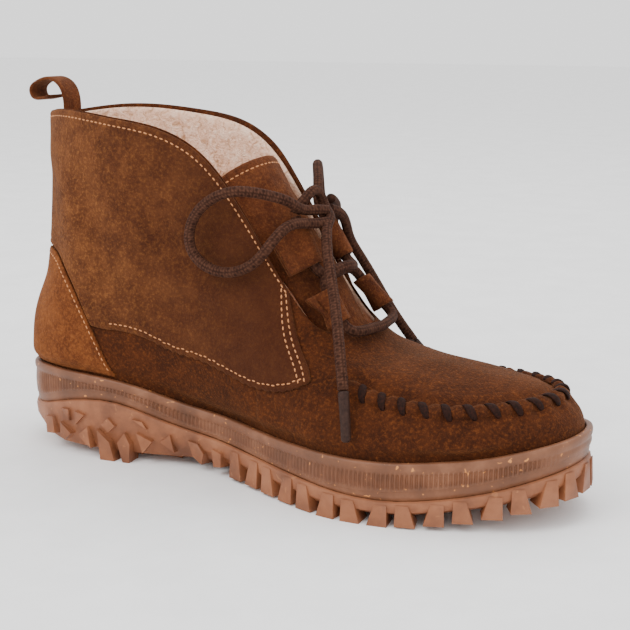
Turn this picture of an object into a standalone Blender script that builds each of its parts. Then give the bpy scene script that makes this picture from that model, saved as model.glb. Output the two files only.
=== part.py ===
import math

import bmesh
import bpy
import mathutils
import numpy as np

# Sizes in millimetres, turned into metres when a solid is made.
MM = 0.001
SOLE_LENGTH = 276.0
BALL_WIDTH = 96.0
LEG_HEIGHT = 160.0
SOLE_HEIGHT = 40.0
WALL = 2.4
GAP = 0.3
OVERLAY = 1.4
LACE_RADIUS = 2.25
TAB_THICKNESS = 1.3
RIM_WIDTH = 3.0

# Sole outline: share of the length, half width and sideways shift as shares of the ball width.
OUTLINE = (
    (0.000, 0.000, -0.010),
    (0.035, 0.245, -0.010),
    (0.110, 0.349, -0.016),
    (0.180, 0.363, -0.019),
    (0.290, 0.325, -0.012),
    (0.400, 0.288, 0.000),
    (0.510, 0.352, -0.031),
    (0.600, 0.436, -0.042),
    (0.670, 0.490, -0.036),
    (0.730, 0.498, -0.021),
    (0.800, 0.474, 0.000),
    (0.870, 0.415, 0.023),
    (0.927, 0.342, 0.031),
    (0.964, 0.262, 0.033),
    (0.990, 0.150, 0.031),
    (1.000, 0.000, 0.031),
)

# Sole side: share of the length, then lip, foot of the ribs, wavy edge and ground as shares of its height.
SIDE = (
    (0.000, 0.950, 0.562, 0.487, 0.150),
    (0.060, 1.000, 0.600, 0.512, 0.075),
    (0.120, 1.000, 0.713, 0.613, 0.000),
    (0.180, 0.988, 0.787, 0.688, 0.000),
    (0.240, 0.950, 0.775, 0.688, 0.000),
    (0.300, 0.863, 0.650, 0.575, 0.000),
    (0.360, 0.750, 0.500, 0.463, 0.013),
    (0.450, 0.688, 0.425, 0.388, 0.037),
    (0.550, 0.662, 0.388, 0.350, 0.025),
    (0.660, 0.662, 0.350, 0.300, 0.000),
    (0.760, 0.662, 0.350, 0.263, 0.000),
    (0.830, 0.700, 0.412, 0.312, 0.050),
    (0.890, 0.750, 0.487, 0.388, 0.120),
    (0.950, 0.838, 0.613, 0.512, 0.215),
    (1.000, 0.912, 0.713, 0.625, 0.300),
)

# Upper: each row is one closed fold line from the sole (share 0) to the topline (share 1).
# Columns: heel back, heel side, ankle, waist, instep, ball, toe side, toe tip.
# X as shares of the sole length, half widths of the ball width, heights of the leg height.
RING_SHARE = (0.0, 0.12, 0.28, 0.46, 0.64, 0.82, 1.0)
RING_X = (
    (0.014, 0.062, 0.188, 0.380, 0.580, 0.743, 0.895, 0.973),
    (0.005, 0.054, 0.185, 0.377, 0.587, 0.746, 0.906, 0.984),
    (0.013, 0.062, 0.188, 0.377, 0.587, 0.739, 0.880, 0.933),
    (0.036, 0.083, 0.199, 0.377, 0.580, 0.717, 0.819, 0.859),
    (0.045, 0.091, 0.210, 0.377, 0.569, 0.685, 0.750, 0.775),
    (0.045, 0.094, 0.217, 0.384, 0.551, 0.638, 0.681, 0.699),
    (0.043, 0.105, 0.239, 0.406, 0.529, 0.598, 0.630, 0.645),
)
RING_WIDTH = (
    (0.000, 0.255, 0.323, 0.250, 0.385, 0.458, 0.339, 0.000),
    (0.000, 0.281, 0.354, 0.297, 0.422, 0.479, 0.365, 0.000),
    (0.000, 0.271, 0.359, 0.333, 0.417, 0.448, 0.323, 0.000),
    (0.000, 0.245, 0.349, 0.344, 0.396, 0.380, 0.240, 0.000),
    (0.000, 0.234, 0.344, 0.339, 0.365, 0.318, 0.193, 0.000),
    (0.000, 0.229, 0.349, 0.328, 0.323, 0.276, 0.167, 0.000),
    (0.000, 0.229, 0.359, 0.318, 0.271, 0.245, 0.151, 0.000),
)
RING_HEIGHT = (
    (0.194, 0.206, 0.212, 0.147, 0.134, 0.134, 0.156, 0.194),
    (0.281, 0.287, 0.281, 0.219, 0.194, 0.194, 0.216, 0.259),
    (0.409, 0.406, 0.381, 0.294, 0.256, 0.256, 0.287, 0.322),
    (0.544, 0.541, 0.494, 0.388, 0.312, 0.303, 0.334, 0.350),
    (0.691, 0.688, 0.637, 0.512, 0.375, 0.353, 0.359, 0.369),
    (0.838, 0.838, 0.800, 0.669, 0.450, 0.391, 0.384, 0.384),
    (0.981, 1.000, 0.991, 0.903, 0.613, 0.463, 0.444, 0.447),
)
STATION_STEP = (26.0, 37.0, 55.0, 54.0, 42.0, 36.0, 30.0)

# Seams in the side view: x as shares of the sole length, z as shares of the leg height.
COUNTER_SEAM = (
    (0.043, 0.594), (0.112, 0.581), (0.159, 0.500), (0.196, 0.394), (0.221, 0.300),
    (0.236, 0.237))
QUARTER_EDGE = (
    (0.221, 0.388), (0.304, 0.375), (0.355, 0.347), (0.413, 0.334), (0.486, 0.303),
    (0.551, 0.291), (0.620, 0.331))
APRON_SEAM = (
    (0.641, 0.347), (0.674, 0.331), (0.714, 0.309), (0.761, 0.297), (0.819, 0.291),
    (0.870, 0.294), (0.917, 0.300))
APRON_TIP = (0.951, 0.306)

# Tongue centre line from under the plug to its top: shares of sole length, leg height and ball width.
TONGUE = (
    (0.699, 0.356, 0.125),
    (0.663, 0.381, 0.156),
    (0.630, 0.438, 0.188),
    (0.580, 0.569, 0.219),
    (0.525, 0.706, 0.240),
    (0.460, 0.881, 0.250),
)
TONGUE_THICKNESS = 3.4
TONGUE_CURVE = 0.024


def spline_weights(knots, at, period=None):
    """Rows of weights that turn values at the knots into values of a smooth curve."""
    knots = np.asarray(knots, float)
    count = len(knots)
    closed = period is not None
    spans = count if closed else count - 1
    ends = np.append(knots, knots[0] + period) if closed else knots
    step = np.diff(ends)
    left = np.zeros((count, count))
    right = np.zeros((count, count))
    for i in range(count):
        if not closed and i in (0, count - 1):
            left[i, i] = 1.0
            continue
        before = step[(i - 1) % spans]
        after = step[i % spans]
        left[i, (i - 1) % count] += before
        left[i, i] += 2.0 * (before + after)
        left[i, (i + 1) % count] += after
        right[i, (i - 1) % count] += 6.0 / before
        right[i, i] -= 6.0 / before + 6.0 / after
        right[i, (i + 1) % count] += 6.0 / after
    bend = np.linalg.solve(left, right)
    rows = []
    for value in np.atleast_1d(at):
        if closed:
            value = knots[0] + (value - knots[0]) % period
        k = int(np.clip(np.searchsorted(ends, value, side="right") - 1, 0, spans - 1))
        h = step[k]
        a = (ends[k + 1] - value) / h
        b = 1.0 - a
        row = np.zeros(count)
        row[k] += a
        row[(k + 1) % count] += b
        row += (a ** 3 - a) * h * h / 6.0 * bend[k]
        row += (b ** 3 - b) * h * h / 6.0 * bend[(k + 1) % count]
        rows.append(row)
    return np.array(rows)


def smooth_column(table, column, at):
    """One column of a table as a smooth function of its first column."""
    keys = [row[0] for row in table]
    values = np.array([row[column] for row in table])
    return spline_weights(keys, np.clip(at, keys[0], keys[-1])) @ values


def smooth_line(points, count):
    """A smooth open line through points, evenly stepped in length."""
    points = np.asarray(points, float)
    reach = np.concatenate([[0.0], np.cumsum(np.linalg.norm(np.diff(points, axis=0), axis=1))])
    fine = spline_weights(reach, np.linspace(0.0, reach[-1], 12 * count)) @ points
    length = np.concatenate([[0.0], np.cumsum(np.linalg.norm(np.diff(fine, axis=0), axis=1))])
    at = np.linspace(0.0, length[-1], count)
    return np.stack([np.interp(at, length, fine[:, k]) for k in range(fine.shape[1])], axis=1)


# Sole outline as a closed loop, heel back first, near side (-Y) first.
def outline_side(turn):
    """Half width and shift of the outline at an angle from 0 (heel) to pi (toe)."""
    share = 0.5 * (1.0 - np.cos(turn))
    keys = np.arccos(1.0 - 2.0 * np.array([row[0] for row in OUTLINE]))
    widths = np.array([row[1] for row in OUTLINE]) * BALL_WIDTH
    fullness = np.empty(len(keys))
    fullness[1:-1] = widths[1:-1] / np.sin(keys[1:-1])
    fullness[0] = fullness[1] + 0.3 * (fullness[1] - fullness[2])
    fullness[-1] = fullness[-2] + 0.1 * (fullness[-2] - fullness[-3])
    weights = spline_weights(keys, turn)
    half = (weights @ fullness) * np.sin(turn)
    shift = weights @ np.array([row[2] for row in OUTLINE]) * BALL_WIDTH
    return share * SOLE_LENGTH, half, shift


def sole_loop(count):
    """Closed outline loop with outward normals and shares; points k and count-k share their x."""
    turn = np.linspace(0.0, math.pi, 721)
    x, half, shift = outline_side(turn)
    reach = np.zeros(len(turn))
    for side in (-1.0, 1.0):
        steps = np.hypot(np.diff(x), np.diff(side * half + shift))
        reach[1:] += 0.5 * np.cumsum(steps)
    even = np.interp(np.linspace(0.0, reach[-1], count // 2 + 1), reach, turn)
    x, half, shift = outline_side(even)
    near = np.stack([x, shift - half], axis=1)
    far = np.stack([x, shift + half], axis=1)
    loop = np.vstack([near, far[-2:0:-1]])
    along = np.roll(loop, -1, axis=0) - np.roll(loop, 1, axis=0)
    along /= np.linalg.norm(along, axis=1)[:, None]
    normal = np.stack([along[:, 1], -along[:, 0]], axis=1)
    return loop, normal, np.clip(loop[:, 0] / SOLE_LENGTH, 0.0, 1.0)


def side_heights(share):
    """Lip top, foot of the ribs, wavy edge and ground at a share of the length."""
    return [smooth_column(SIDE, k, share) * SOLE_HEIGHT for k in range(1, 5)]


# Upper as a smooth function of a place around (0 to 16) and a share up (0 to 1).
STATIONS = np.concatenate([[0.0], np.cumsum(STATION_STEP)])
ROUND_KNOTS = np.concatenate([STATIONS, 2.0 * STATIONS[-1] - STATIONS[-2:0:-1]])
ROUND = 2.0 * STATIONS[-1]


def ring_nodes():
    """Guide points of every fold line around both sides."""
    shift_keys = [row[0] * SOLE_LENGTH for row in OUTLINE]
    shift_values = [row[2] * BALL_WIDTH for row in OUTLINE]
    nodes = []
    for row, share in enumerate(RING_SHARE):
        xs = np.array(RING_X[row]) * SOLE_LENGTH
        ws = np.array(RING_WIDTH[row]) * BALL_WIDTH
        zs = np.array(RING_HEIGHT[row]) * LEG_HEIGHT
        keep = 1.0 - 0.6 * share
        shift = np.interp(xs, shift_keys, shift_values) * keep
        near = np.stack([xs, shift - ws, zs], axis=1)
        far = np.stack([xs, shift + ws, zs], axis=1)
        nodes.append(np.vstack([near, far[-2:0:-1]]))
    return np.array(nodes)


NODES = ring_nodes()


FIT_LOOP, FIT_NORMAL, FIT_SHARE = sole_loop(360)
CUP_INSET = RIM_WIDTH + GAP + 0.1
SEAT_DEPTH = 6.0
CUP_BLEND = 6.0


def lip_height(x):
    """Height of the lip of the sole at a distance from the heel."""
    share = np.clip(np.asarray(x) / SOLE_LENGTH, 0.0, 1.0)
    return smooth_column(SIDE, 1, share) * SOLE_HEIGHT


def cup_depth(points):
    """Signed distance outside the sole outline, and the outline's normal there."""
    gap = points[:, None, :2] - FIT_LOOP[None]
    nearest = np.argmin((gap ** 2).sum(axis=2), axis=1)
    normal = FIT_NORMAL[nearest]
    return (gap[np.arange(len(points)), nearest] * normal).sum(axis=1), normal


def upper_at(around, up):
    """Points of the upper at pairs of places; its foot follows the cup of the sole."""
    around = np.asarray(around, float)
    up = np.clip(np.asarray(up, float), 0.0, 1.0)
    across = spline_weights(ROUND_KNOTS, around, ROUND)
    rise = spline_weights(RING_SHARE, up)
    points = np.einsum("nr,rkc,nk->nc", rise, NODES, across)
    foot = np.einsum("kc,nk->nc", NODES[0], across)
    depth, normal = cup_depth(foot)
    foot[:, :2] -= normal * (depth + CUP_INSET)[:, None]
    lift = lip_height(foot[:, 0]) - SEAT_DEPTH - foot[:, 2]
    points[:, 2] += lift * np.clip(1.0 - up / RING_SHARE[1], 0.0, 1.0)
    depth, normal = cup_depth(points)
    high = (points[:, 2] - lip_height(points[:, 0]) - 0.5) / CUP_BLEND
    high = np.clip(high, 0.0, 1.0)
    pull = 1.0 - high * high * (3.0 - 2.0 * high)
    points[:, :2] -= normal * ((depth + CUP_INSET) * pull)[:, None]
    return points


def upper_point(around, up):
    """Point and outward normal of the upper at pairs of places."""
    around = np.asarray(around, float)
    up = np.clip(np.asarray(up, float), 0.0, 1.0)
    turn = 0.004 * ROUND
    lean = 0.008
    point = upper_at(around, up)
    along = upper_at(around + turn, up) - upper_at(around - turn, up)
    above = upper_at(around, up + lean) - upper_at(around, up - lean)
    normal = np.cross(along, above)
    normal /= np.linalg.norm(normal, axis=1)[:, None]
    return point, normal


def upper_place(x_share, z_share, far):
    """Place around and share up of the upper at a point of the side view."""
    x = x_share * SOLE_LENGTH
    z = z_share * LEG_HEIGHT
    half = np.linspace(0.0, ROUND / 2.0, 73)
    ups = np.linspace(0.0, 1.0, 49)
    around = ROUND - half if far else half
    pairs = np.array([(a, v) for v in ups for a in around])
    grid = upper_at(pairs[:, 0], pairs[:, 1]).reshape(len(ups), len(around), 3)
    gap = (grid[:, :, 0] - x) ** 2 + (grid[:, :, 2] - z) ** 2
    row, col = np.unravel_index(np.argmin(gap), gap.shape)
    place = np.array([half[col], ups[row]])
    reach = np.array([half[1], ups[1]])
    for _ in range(12):
        best = None
        for du in (-1.0, 0.0, 1.0):
            for dv in (-1.0, 0.0, 1.0):
                trial = place + reach * (du, dv)
                trial = np.array([np.clip(trial[0], 0.0, ROUND / 2.0), np.clip(trial[1], 0.0, 1.0)])
                spot = upper_at([ROUND - trial[0] if far else trial[0]], [trial[1]])[0]
                miss = (spot[0] - x) ** 2 + (spot[2] - z) ** 2
                if best is None or miss < best[0]:
                    best = (miss, trial)
        place = best[1]
        reach = reach * 0.6
    return (ROUND - place[0] if far else place[0]), place[1]


def material(name, colour, roughness, metallic=0.0):
    made = bpy.data.materials.new(name)
    made.use_nodes = True
    shader = made.node_tree.nodes["Principled BSDF"]
    shader.inputs["Base Color"].default_value = (*colour, 1.0)
    shader.inputs["Roughness"].default_value = roughness
    shader.inputs["Metallic"].default_value = metallic
    return made


def solid(name, points, faces, made, smooth=True, home=None):
    """A mesh object from points in millimetres."""
    mesh = bpy.data.meshes.new(name)
    mesh.from_pydata([tuple(float(v) * MM for v in p) for p in points], [], faces)
    mesh.validate()
    mesh.update()
    thing = bpy.data.objects.new(name, mesh)
    (home or PARTS).objects.link(thing)
    mesh.materials.append(made)
    for face in mesh.polygons:
        face.use_smooth = smooth
    return thing


def ring_faces(rings, count, closed_rings=False):
    """Faces between rings of points; each ring holds count points and is closed."""
    faces = []
    last = rings if closed_rings else rings - 1
    for row in range(last):
        for k in range(count):
            a = row * count + k
            b = row * count + (k + 1) % count
            c = ((row + 1) % rings) * count + (k + 1) % count
            d = ((row + 1) % rings) * count + k
            faces.append((a, b, c, d))
    return faces


def sheet_faces(rows, cols):
    """Faces of a thick sheet: outer grid first, then inner grid of the same size."""
    faces = []
    base = rows * cols
    for r in range(rows - 1):
        for c in range(cols - 1):
            a = r * cols + c
            quad = (a, a + 1, a + cols + 1, a + cols)
            faces.append(quad)
            faces.append(tuple(base + v for v in reversed(quad)))
    edge = [c for c in range(cols)]
    edge += [r * cols + cols - 1 for r in range(1, rows)]
    edge += [(rows - 1) * cols + c for c in range(cols - 2, -1, -1)]
    edge += [r * cols for r in range(rows - 2, 0, -1)]
    for k, a in enumerate(edge):
        b = edge[(k + 1) % len(edge)]
        faces.append((a, base + a, base + b, b))
    return faces


def loop_cap(first, count, up):
    """Faces that close a loop whose point k and point count-k face each other."""
    faces = []
    half = count // 2
    faces.append((first, first + 1, first + count - 1))
    for k in range(1, half - 1):
        faces.append((first + k, first + k + 1, first + count - k - 1, first + count - k))
    faces.append((first + half - 1, first + half, first + half + 1))
    return faces if up else [tuple(reversed(f)) for f in faces]


def clear_scene():
    for thing in list(bpy.data.objects):
        bpy.data.objects.remove(thing, do_unlink=True)


def collection(name):
    made = bpy.data.collections.new(name)
    bpy.context.scene.collection.children.link(made)
    return made


clear_scene()
PARTS = collection("moccasin_boot")
CUTTERS = collection("moccasin_boot_cutters")

SUEDE = material("suede", (0.19, 0.072, 0.026), 0.92)
SUEDE_DARK = material("suede_dark", (0.15, 0.055, 0.02), 0.92)
BAND_RUBBER = material("band_rubber", (0.27, 0.185, 0.13), 0.62)
TREAD_RUBBER = material("tread_rubber", (0.38, 0.22, 0.13), 0.6)
FELT = material("footbed_felt", (0.62, 0.5, 0.4), 0.95)
CORD = material("lace_cord", (0.075, 0.042, 0.032), 0.7)
TIP = material("tip_plastic", (0.12, 0.09, 0.08), 0.4)


def inset_ring(loop, normal, inset, height):
    """A loop moved inwards by an inset for each point, at given heights."""
    inset = np.broadcast_to(inset, len(loop))
    height = np.broadcast_to(height, len(loop))
    flat = loop - normal * inset[:, None]
    return np.column_stack([flat, height])


# Midsole: a cup band with a rib on every second point of its loop.
MIDSOLE_POINTS = 148
RIB_DEPTH = 0.9
SEAT_GAP = 0.5


def build_midsole():
    loop, normal, share = sole_loop(MIDSOLE_POINTS)
    lip, foot, wavy, ground = side_heights(share)
    ribbed = np.clip((share - 0.05) / 0.06, 0.0, 1.0) * np.clip((0.985 - share) / 0.03, 0.0, 1.0)
    rib = RIB_DEPTH * ribbed * (np.arange(MIDSOLE_POINTS) % 2)
    seat = lip_height(loop[:, 0] - RIM_WIDTH * normal[:, 0]) - SEAT_DEPTH - SEAT_GAP
    rows = (
        (6.5, wavy - 3.0 + GAP / 2.0),
        (1.3, wavy + GAP / 2.0),
        (0.8 - rib, foot + 0.6),
        (0.6 - rib, lip - 4.0),
        (0.0, lip - 2.2),
        (0.9, lip),
        (RIM_WIDTH, lip - 0.2),
        (RIM_WIDTH, seat),
    )
    rings = [inset_ring(loop, normal, inset, height) for inset, height in rows]
    faces = ring_faces(len(rings), MIDSOLE_POINTS)
    faces += loop_cap(0, MIDSOLE_POINTS, True)
    faces += loop_cap((len(rings) - 1) * MIDSOLE_POINTS, MIDSOLE_POINTS, False)
    return solid("midsole", np.vstack(rings), faces, BAND_RUBBER)


# Outsole: a slab with side shapes and lugs joined to it.
OUTSOLE_POINTS = 76
SLAB_FOOT = 4.0

# Raised shapes on each heel side: corners as shares of the sole length and the sole height.
HEEL_RELIEF = (
    ((0.083, 0.400), (0.107, 0.425), (0.112, 0.188), (0.087, 0.163)),
    ((0.123, 0.388), (0.152, 0.250), (0.134, 0.150), (0.123, 0.212)),
    ((0.185, 0.388), (0.192, 0.100), (0.161, 0.250)),
    ((0.225, 0.525), (0.241, 0.425), (0.225, 0.325), (0.210, 0.425)),
    ((0.201, 0.388), (0.228, 0.237), (0.239, 0.000), (0.207, 0.000)),
    ((0.255, 0.388), (0.266, 0.237), (0.264, 0.000), (0.250, 0.000), (0.239, 0.237)),
    ((0.274, 0.388), (0.306, 0.287), (0.286, 0.113)),
    ((0.335, 0.400), (0.344, 0.163), (0.315, 0.287)),
    ((0.125, 0.550), (0.147, 0.550), (0.147, 0.388)),
    ((0.158, 0.550), (0.181, 0.512), (0.158, 0.350)),
    ((0.266, 0.537), (0.288, 0.512), (0.297, 0.412)),
    ((0.364, 0.362), (0.386, 0.338), (0.400, 0.212), (0.395, 0.062), (0.375, 0.150)),
    ((0.413, 0.312), (0.438, 0.287), (0.438, 0.100), (0.418, 0.075)),
)
RELIEF_OUT = 1.7
RELIEF_IN = 8.0
RELIEF_TAPER = 0.84

# Side lugs from the waist round the toe.
SIDE_LUG_START = 0.47
SIDE_LUG_STEP = 11.2
SIDE_LUG_FOOT = 8.4
SIDE_LUG_HEAD = 5.2

# Bottom lugs: place along, half spread across, length and width, as shares of sole length and ball width.
BOTTOM_LUGS = (
    (0.098, 0.000, 0.047, 0.177),
    (0.167, 0.120, 0.047, 0.156),
    (0.239, 0.125, 0.047, 0.167),
    (0.312, 0.104, 0.043, 0.135),
    (0.572, 0.151, 0.047, 0.177),
    (0.641, 0.172, 0.047, 0.219),
    (0.710, 0.182, 0.047, 0.240),
    (0.779, 0.167, 0.047, 0.219),
    (0.848, 0.130, 0.043, 0.167),
)


class Wall:
    """The side of the sole by distance along the loop, side and height."""

    def __init__(self):
        self.loop, self.normal, self.share = sole_loop(720)
        self.half = len(self.loop) // 2
        self.toe = int(np.argmax(self.loop[:, 0]))
        closed = np.vstack([self.loop, self.loop[:1]])
        step = np.linalg.norm(np.diff(closed, axis=0), axis=1)
        self.reach = np.concatenate([[0.0], np.cumsum(step)])

    def place(self, arc):
        """Point and normal in plan at a distance along the loop."""
        total = self.reach[-1]
        keys = self.reach
        spot = [np.interp(arc % total, keys, np.append(self.loop[:, k], self.loop[0, k]))
                for k in range(2)]
        face = [np.interp(arc % total, keys, np.append(self.normal[:, k], self.normal[0, k]))
                for k in range(2)]
        face = np.array(face) / np.linalg.norm(face)
        return np.array(spot), face

    def arc_at(self, x, far):
        """Distance along the loop of a place given by its x."""
        if far:
            rows = np.arange(self.toe + 6, len(self.loop))
            return float(np.interp(-x, -self.loop[rows, 0], self.reach[rows]))
        rows = np.arange(0, self.toe - 6)
        return float(np.interp(x, self.loop[rows, 0], self.reach[rows]))

    def point(self, arc, out, height):
        spot, face = self.place(arc)
        return (*(spot + face * out), height)


def prism(inner, outer):
    """Points and faces of a solid between two polygons with the same corners."""
    count = len(inner)
    faces = [tuple(range(count)), tuple(range(2 * count - 1, count - 1, -1))]
    faces += [(k, count + k, count + (k + 1) % count, (k + 1) % count) for k in range(count)]
    return list(inner) + list(outer), faces


def outsole_blocks():
    """Every raised shape and lug of the outsole."""
    wall = Wall()
    blocks = []
    for shape in HEEL_RELIEF:
        shape = np.array(shape) * (SOLE_LENGTH, SOLE_HEIGHT)
        middle = np.mean(shape, axis=0)
        for far in (False, True):
            inner = []
            outer = []
            for x, z in shape:
                small = middle + (np.array([x, z]) - middle) * RELIEF_TAPER
                if z <= 0.0:
                    small[1] = 0.0
                wavy = float(smooth_column(SIDE, 3, x / SOLE_LENGTH)[0]) * SOLE_HEIGHT
                inner.append(wall.point(wall.arc_at(x, far), -RELIEF_IN, min(z, wavy - 5.5)))
                outer.append(wall.point(wall.arc_at(small[0], far), RELIEF_OUT - 0.4, small[1]))
            blocks.append(prism(inner, outer))
    start = wall.arc_at(SIDE_LUG_START * SOLE_LENGTH, False)
    stop = wall.arc_at(SIDE_LUG_START * SOLE_LENGTH, True)
    count = int((stop - start) / SIDE_LUG_STEP)
    for k in range(count + 1):
        arc = start + (stop - start) * k / count
        spot, face = wall.place(arc)
        share = np.clip(spot[0] / SOLE_LENGTH, 0.0, 1.0)
        wavy = float(smooth_column(SIDE, 3, share)[0]) * SOLE_HEIGHT
        ground = max(float(smooth_column(SIDE, 4, share)[0]) * SOLE_HEIGHT, 0.0)
        lean = 1.3 if k % 2 else -1.3
        head = wavy - 1.6
        foot_half = SIDE_LUG_FOOT / 2.0
        head_half = SIDE_LUG_HEAD / 2.0
        outer = [
            wall.point(arc - foot_half, 1.1, ground),
            wall.point(arc + foot_half, 1.1, ground),
            wall.point(arc + head_half + lean, 0.4, head),
            wall.point(arc - head_half + lean, 0.4, head),
        ]
        inner = [
            wall.point(arc - foot_half, -9.0, ground),
            wall.point(arc + foot_half, -9.0, ground),
            wall.point(arc + head_half, -5.0, head - 3.2),
            wall.point(arc - head_half, -5.0, head - 3.2),
        ]
        blocks.append(prism(inner, outer))
    for place, spread_share, length_share, width_share in BOTTOM_LUGS:
        x = place * SOLE_LENGTH
        spread = spread_share * BALL_WIDTH
        length = length_share * SOLE_LENGTH
        width = width_share * BALL_WIDTH
        shift = float(np.interp(place, [row[0] for row in OUTLINE], [row[2] for row in OUTLINE]))
        shift *= BALL_WIDTH
        ends = [smooth_column(SIDE, 4, place + s * length_share / 2.0)[0] for s in (-1, 1)]
        ends = [max(float(end), 0.0) * SOLE_HEIGHT for end in ends]
        for side in ((-1.0, 1.0) if spread else (0.0,)):
            y = shift + side * spread
            cant = side * 2.5
            corners = (
                (x - length / 2.0 - cant * side, y - width / 2.0 + 0.6, ends[0]),
                (x + length / 2.0 - cant * side, y - width / 2.0 + 0.6, ends[1]),
                (x + length / 2.0, y + width / 2.0 - 0.6, ends[1]),
                (x - length / 2.0, y + width / 2.0 - 0.6, ends[0]),
            )
            roof = [(cx, cy, cz + SLAB_FOOT + 1.2) for cx, cy, cz in corners]
            blocks.append(prism(corners, roof))
    return blocks


def join_blocks(name, blocks):
    points = []
    faces = []
    for block_points, block_faces in blocks:
        base = len(points)
        points += block_points
        faces += [tuple(base + v for v in face) for face in block_faces]
    return solid(name, points, faces, TREAD_RUBBER, smooth=False, home=CUTTERS)


def face_outwards(thing):
    mesh = thing.data
    shape = bmesh.new()
    shape.from_mesh(mesh)
    bmesh.ops.recalc_face_normals(shape, faces=shape.faces)
    shape.to_mesh(mesh)
    shape.free()


def build_outsole():
    loop, normal, share = sole_loop(OUTSOLE_POINTS)
    lip, foot, wavy, ground = side_heights(share)
    ground = np.maximum(ground, 0.0)
    rows = (
        (6.5, wavy - 3.0 - GAP / 2.0),
        (1.3, wavy - GAP / 2.0),
        (0.3, wavy - 0.7),
        (0.0, wavy - 2.2),
        (0.5, ground + 0.55 * (wavy - 2.2 - ground) + 1.2),
        (3.5, ground + SLAB_FOOT),
    )
    rings = [inset_ring(loop, normal, inset, height) for inset, height in rows]
    faces = ring_faces(len(rings), OUTSOLE_POINTS)
    faces += loop_cap(0, OUTSOLE_POINTS, False)
    faces += loop_cap((len(rings) - 1) * OUTSOLE_POINTS, OUTSOLE_POINTS, True)
    base = solid("outsole", np.vstack(rings), faces, TREAD_RUBBER, smooth=False)
    cutter = join_blocks("outsole_blocks", outsole_blocks())
    face_outwards(base)
    face_outwards(cutter)
    step = base.modifiers.new("join_blocks", "BOOLEAN")
    step.operation = "UNION"
    step.solver = "EXACT"
    step.use_self = True
    step.object = cutter
    cutter.hide_render = True
    cutter.display_type = "WIRE"
    return base


# Insole inside the foot of the upper.
INSOLE_POINTS = 56
INSOLE_THICKNESS = 3.0


def build_insole():
    loop, normal, share = sole_loop(INSOLE_POINTS)
    edge = CUP_INSET + WALL + GAP + 0.9
    seat = lip_height(loop[:, 0] - edge * normal[:, 0]) - SEAT_DEPTH
    rows = (
        (edge, seat + 0.3),
        (edge, seat + INSOLE_THICKNESS - 0.6),
        (edge + 0.8, seat + INSOLE_THICKNESS),
    )
    rings = [inset_ring(loop, normal, inset, height) for inset, height in rows]
    faces = ring_faces(len(rings), INSOLE_POINTS)
    faces += loop_cap(0, INSOLE_POINTS, True)
    faces += loop_cap((len(rings) - 1) * INSOLE_POINTS, INSOLE_POINTS, False)
    return solid("insole", np.vstack(rings), faces, FELT)


# Upper: one hollow shell, rows as shares of the way from the lip of the sole to the topline.
UPPER_AROUND = 56
UPPER_ROWS = (0.0, 0.028, 0.065, 0.11, 0.17, 0.25, 0.34, 0.44, 0.55, 0.67, 0.79, 0.9, 1.0)
STATION_PLACES = np.linspace(0.0, ROUND, UPPER_AROUND, endpoint=False)
CREASE_LIFT = 0.6


def lifted_share(around, lift):
    """Share up the upper at which it stands a given height above the lip of the sole."""
    ups = np.linspace(0.0, 0.4, 81)
    spots = upper_at(np.full(len(ups), around), ups)
    return float(np.interp(lift, spots[:, 2] - lip_height(spots[:, 0]), ups))


def build_upper():
    crease = np.array([lifted_share(a, CREASE_LIFT) for a in STATION_PLACES])
    ups = [np.zeros(UPPER_AROUND)] + [crease + (1.0 - crease) * t for t in UPPER_ROWS]
    pairs = np.array([(a, v) for row in ups for a, v in zip(STATION_PLACES, row)])
    outer, normal = upper_point(pairs[:, 0], pairs[:, 1])
    inner = outer - normal * WALL
    rows = len(ups)
    inner = inner.reshape(rows, UPPER_AROUND, 3)
    outer = outer.reshape(rows, UPPER_AROUND, 3)
    inner[0, :, 2] = outer[0, :, 2]
    stack = np.concatenate([outer, inner[::-1]])
    faces = ring_faces(2 * rows, UPPER_AROUND, closed_rings=True)
    return solid("upper", stack.reshape(-1, 3), faces, SUEDE)


def places(points, far):
    """Places on the upper for points of the side view."""
    return [upper_place(x, z, far) for x, z in points]


def smooth_places(line, count):
    """Even steps along a line of places, measured on the upper."""
    line = np.array(line)
    spots = upper_at(line[:, 0], line[:, 1])
    reach = np.concatenate([[0.0], np.cumsum(np.linalg.norm(np.diff(spots, axis=0), axis=1))])
    at = np.linspace(0.0, reach[-1], count)
    return np.stack([np.interp(at, reach, line[:, k]) for k in range(2)], axis=1)


def overlay(name, columns, low, high, shares, lift, made):
    """A thick patch of the upper between a lower and an upper share for every column."""
    pairs = np.array([(a, lo + (hi - lo) * t) for t in shares for a, lo, hi in zip(columns, low, high)])
    point, normal = upper_point(pairs[:, 0], pairs[:, 1])
    outer = point + normal * (lift + OVERLAY)
    inner = point + normal * lift
    faces = sheet_faces(len(shares), len(columns))
    return solid(name, np.vstack([outer, inner]), faces, made)


def seam_share(line, columns):
    """Share up of a seam, given as places of the near side, for signed columns."""
    keys = [around for around, up in line]
    return np.interp(np.abs(columns), keys, [up for around, up in line])


# Quarter panel: from its lower edge up to the topline, round both sides of the leg.
QUARTER_ROWS = (0.0, 0.1, 0.22, 0.36, 0.52, 0.68, 0.84, 1.0)
COLLAR_SHARE = 0.992
COUNTER_TOP_SHARE = 0.5
COUNTER_ROWS = (0.0, 0.09, 0.2, 0.35, 0.55, 0.78, 1.0)
COUNTER_FOOT_LIFT = 2.6
COUNTER_GAP = 0.014
QUARTER_LIFT = GAP + 0.2
COUNTER_LIFT = GAP + 0.5


def signed_columns(reach):
    """Columns shared with the upper, out to a reach on both sides of the heel."""
    near = [a for a in STATION_PLACES if 0.0 < a < reach - 3.0] + [reach]
    return np.array([-a for a in near][::-1] + [0.0] + near)


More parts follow.
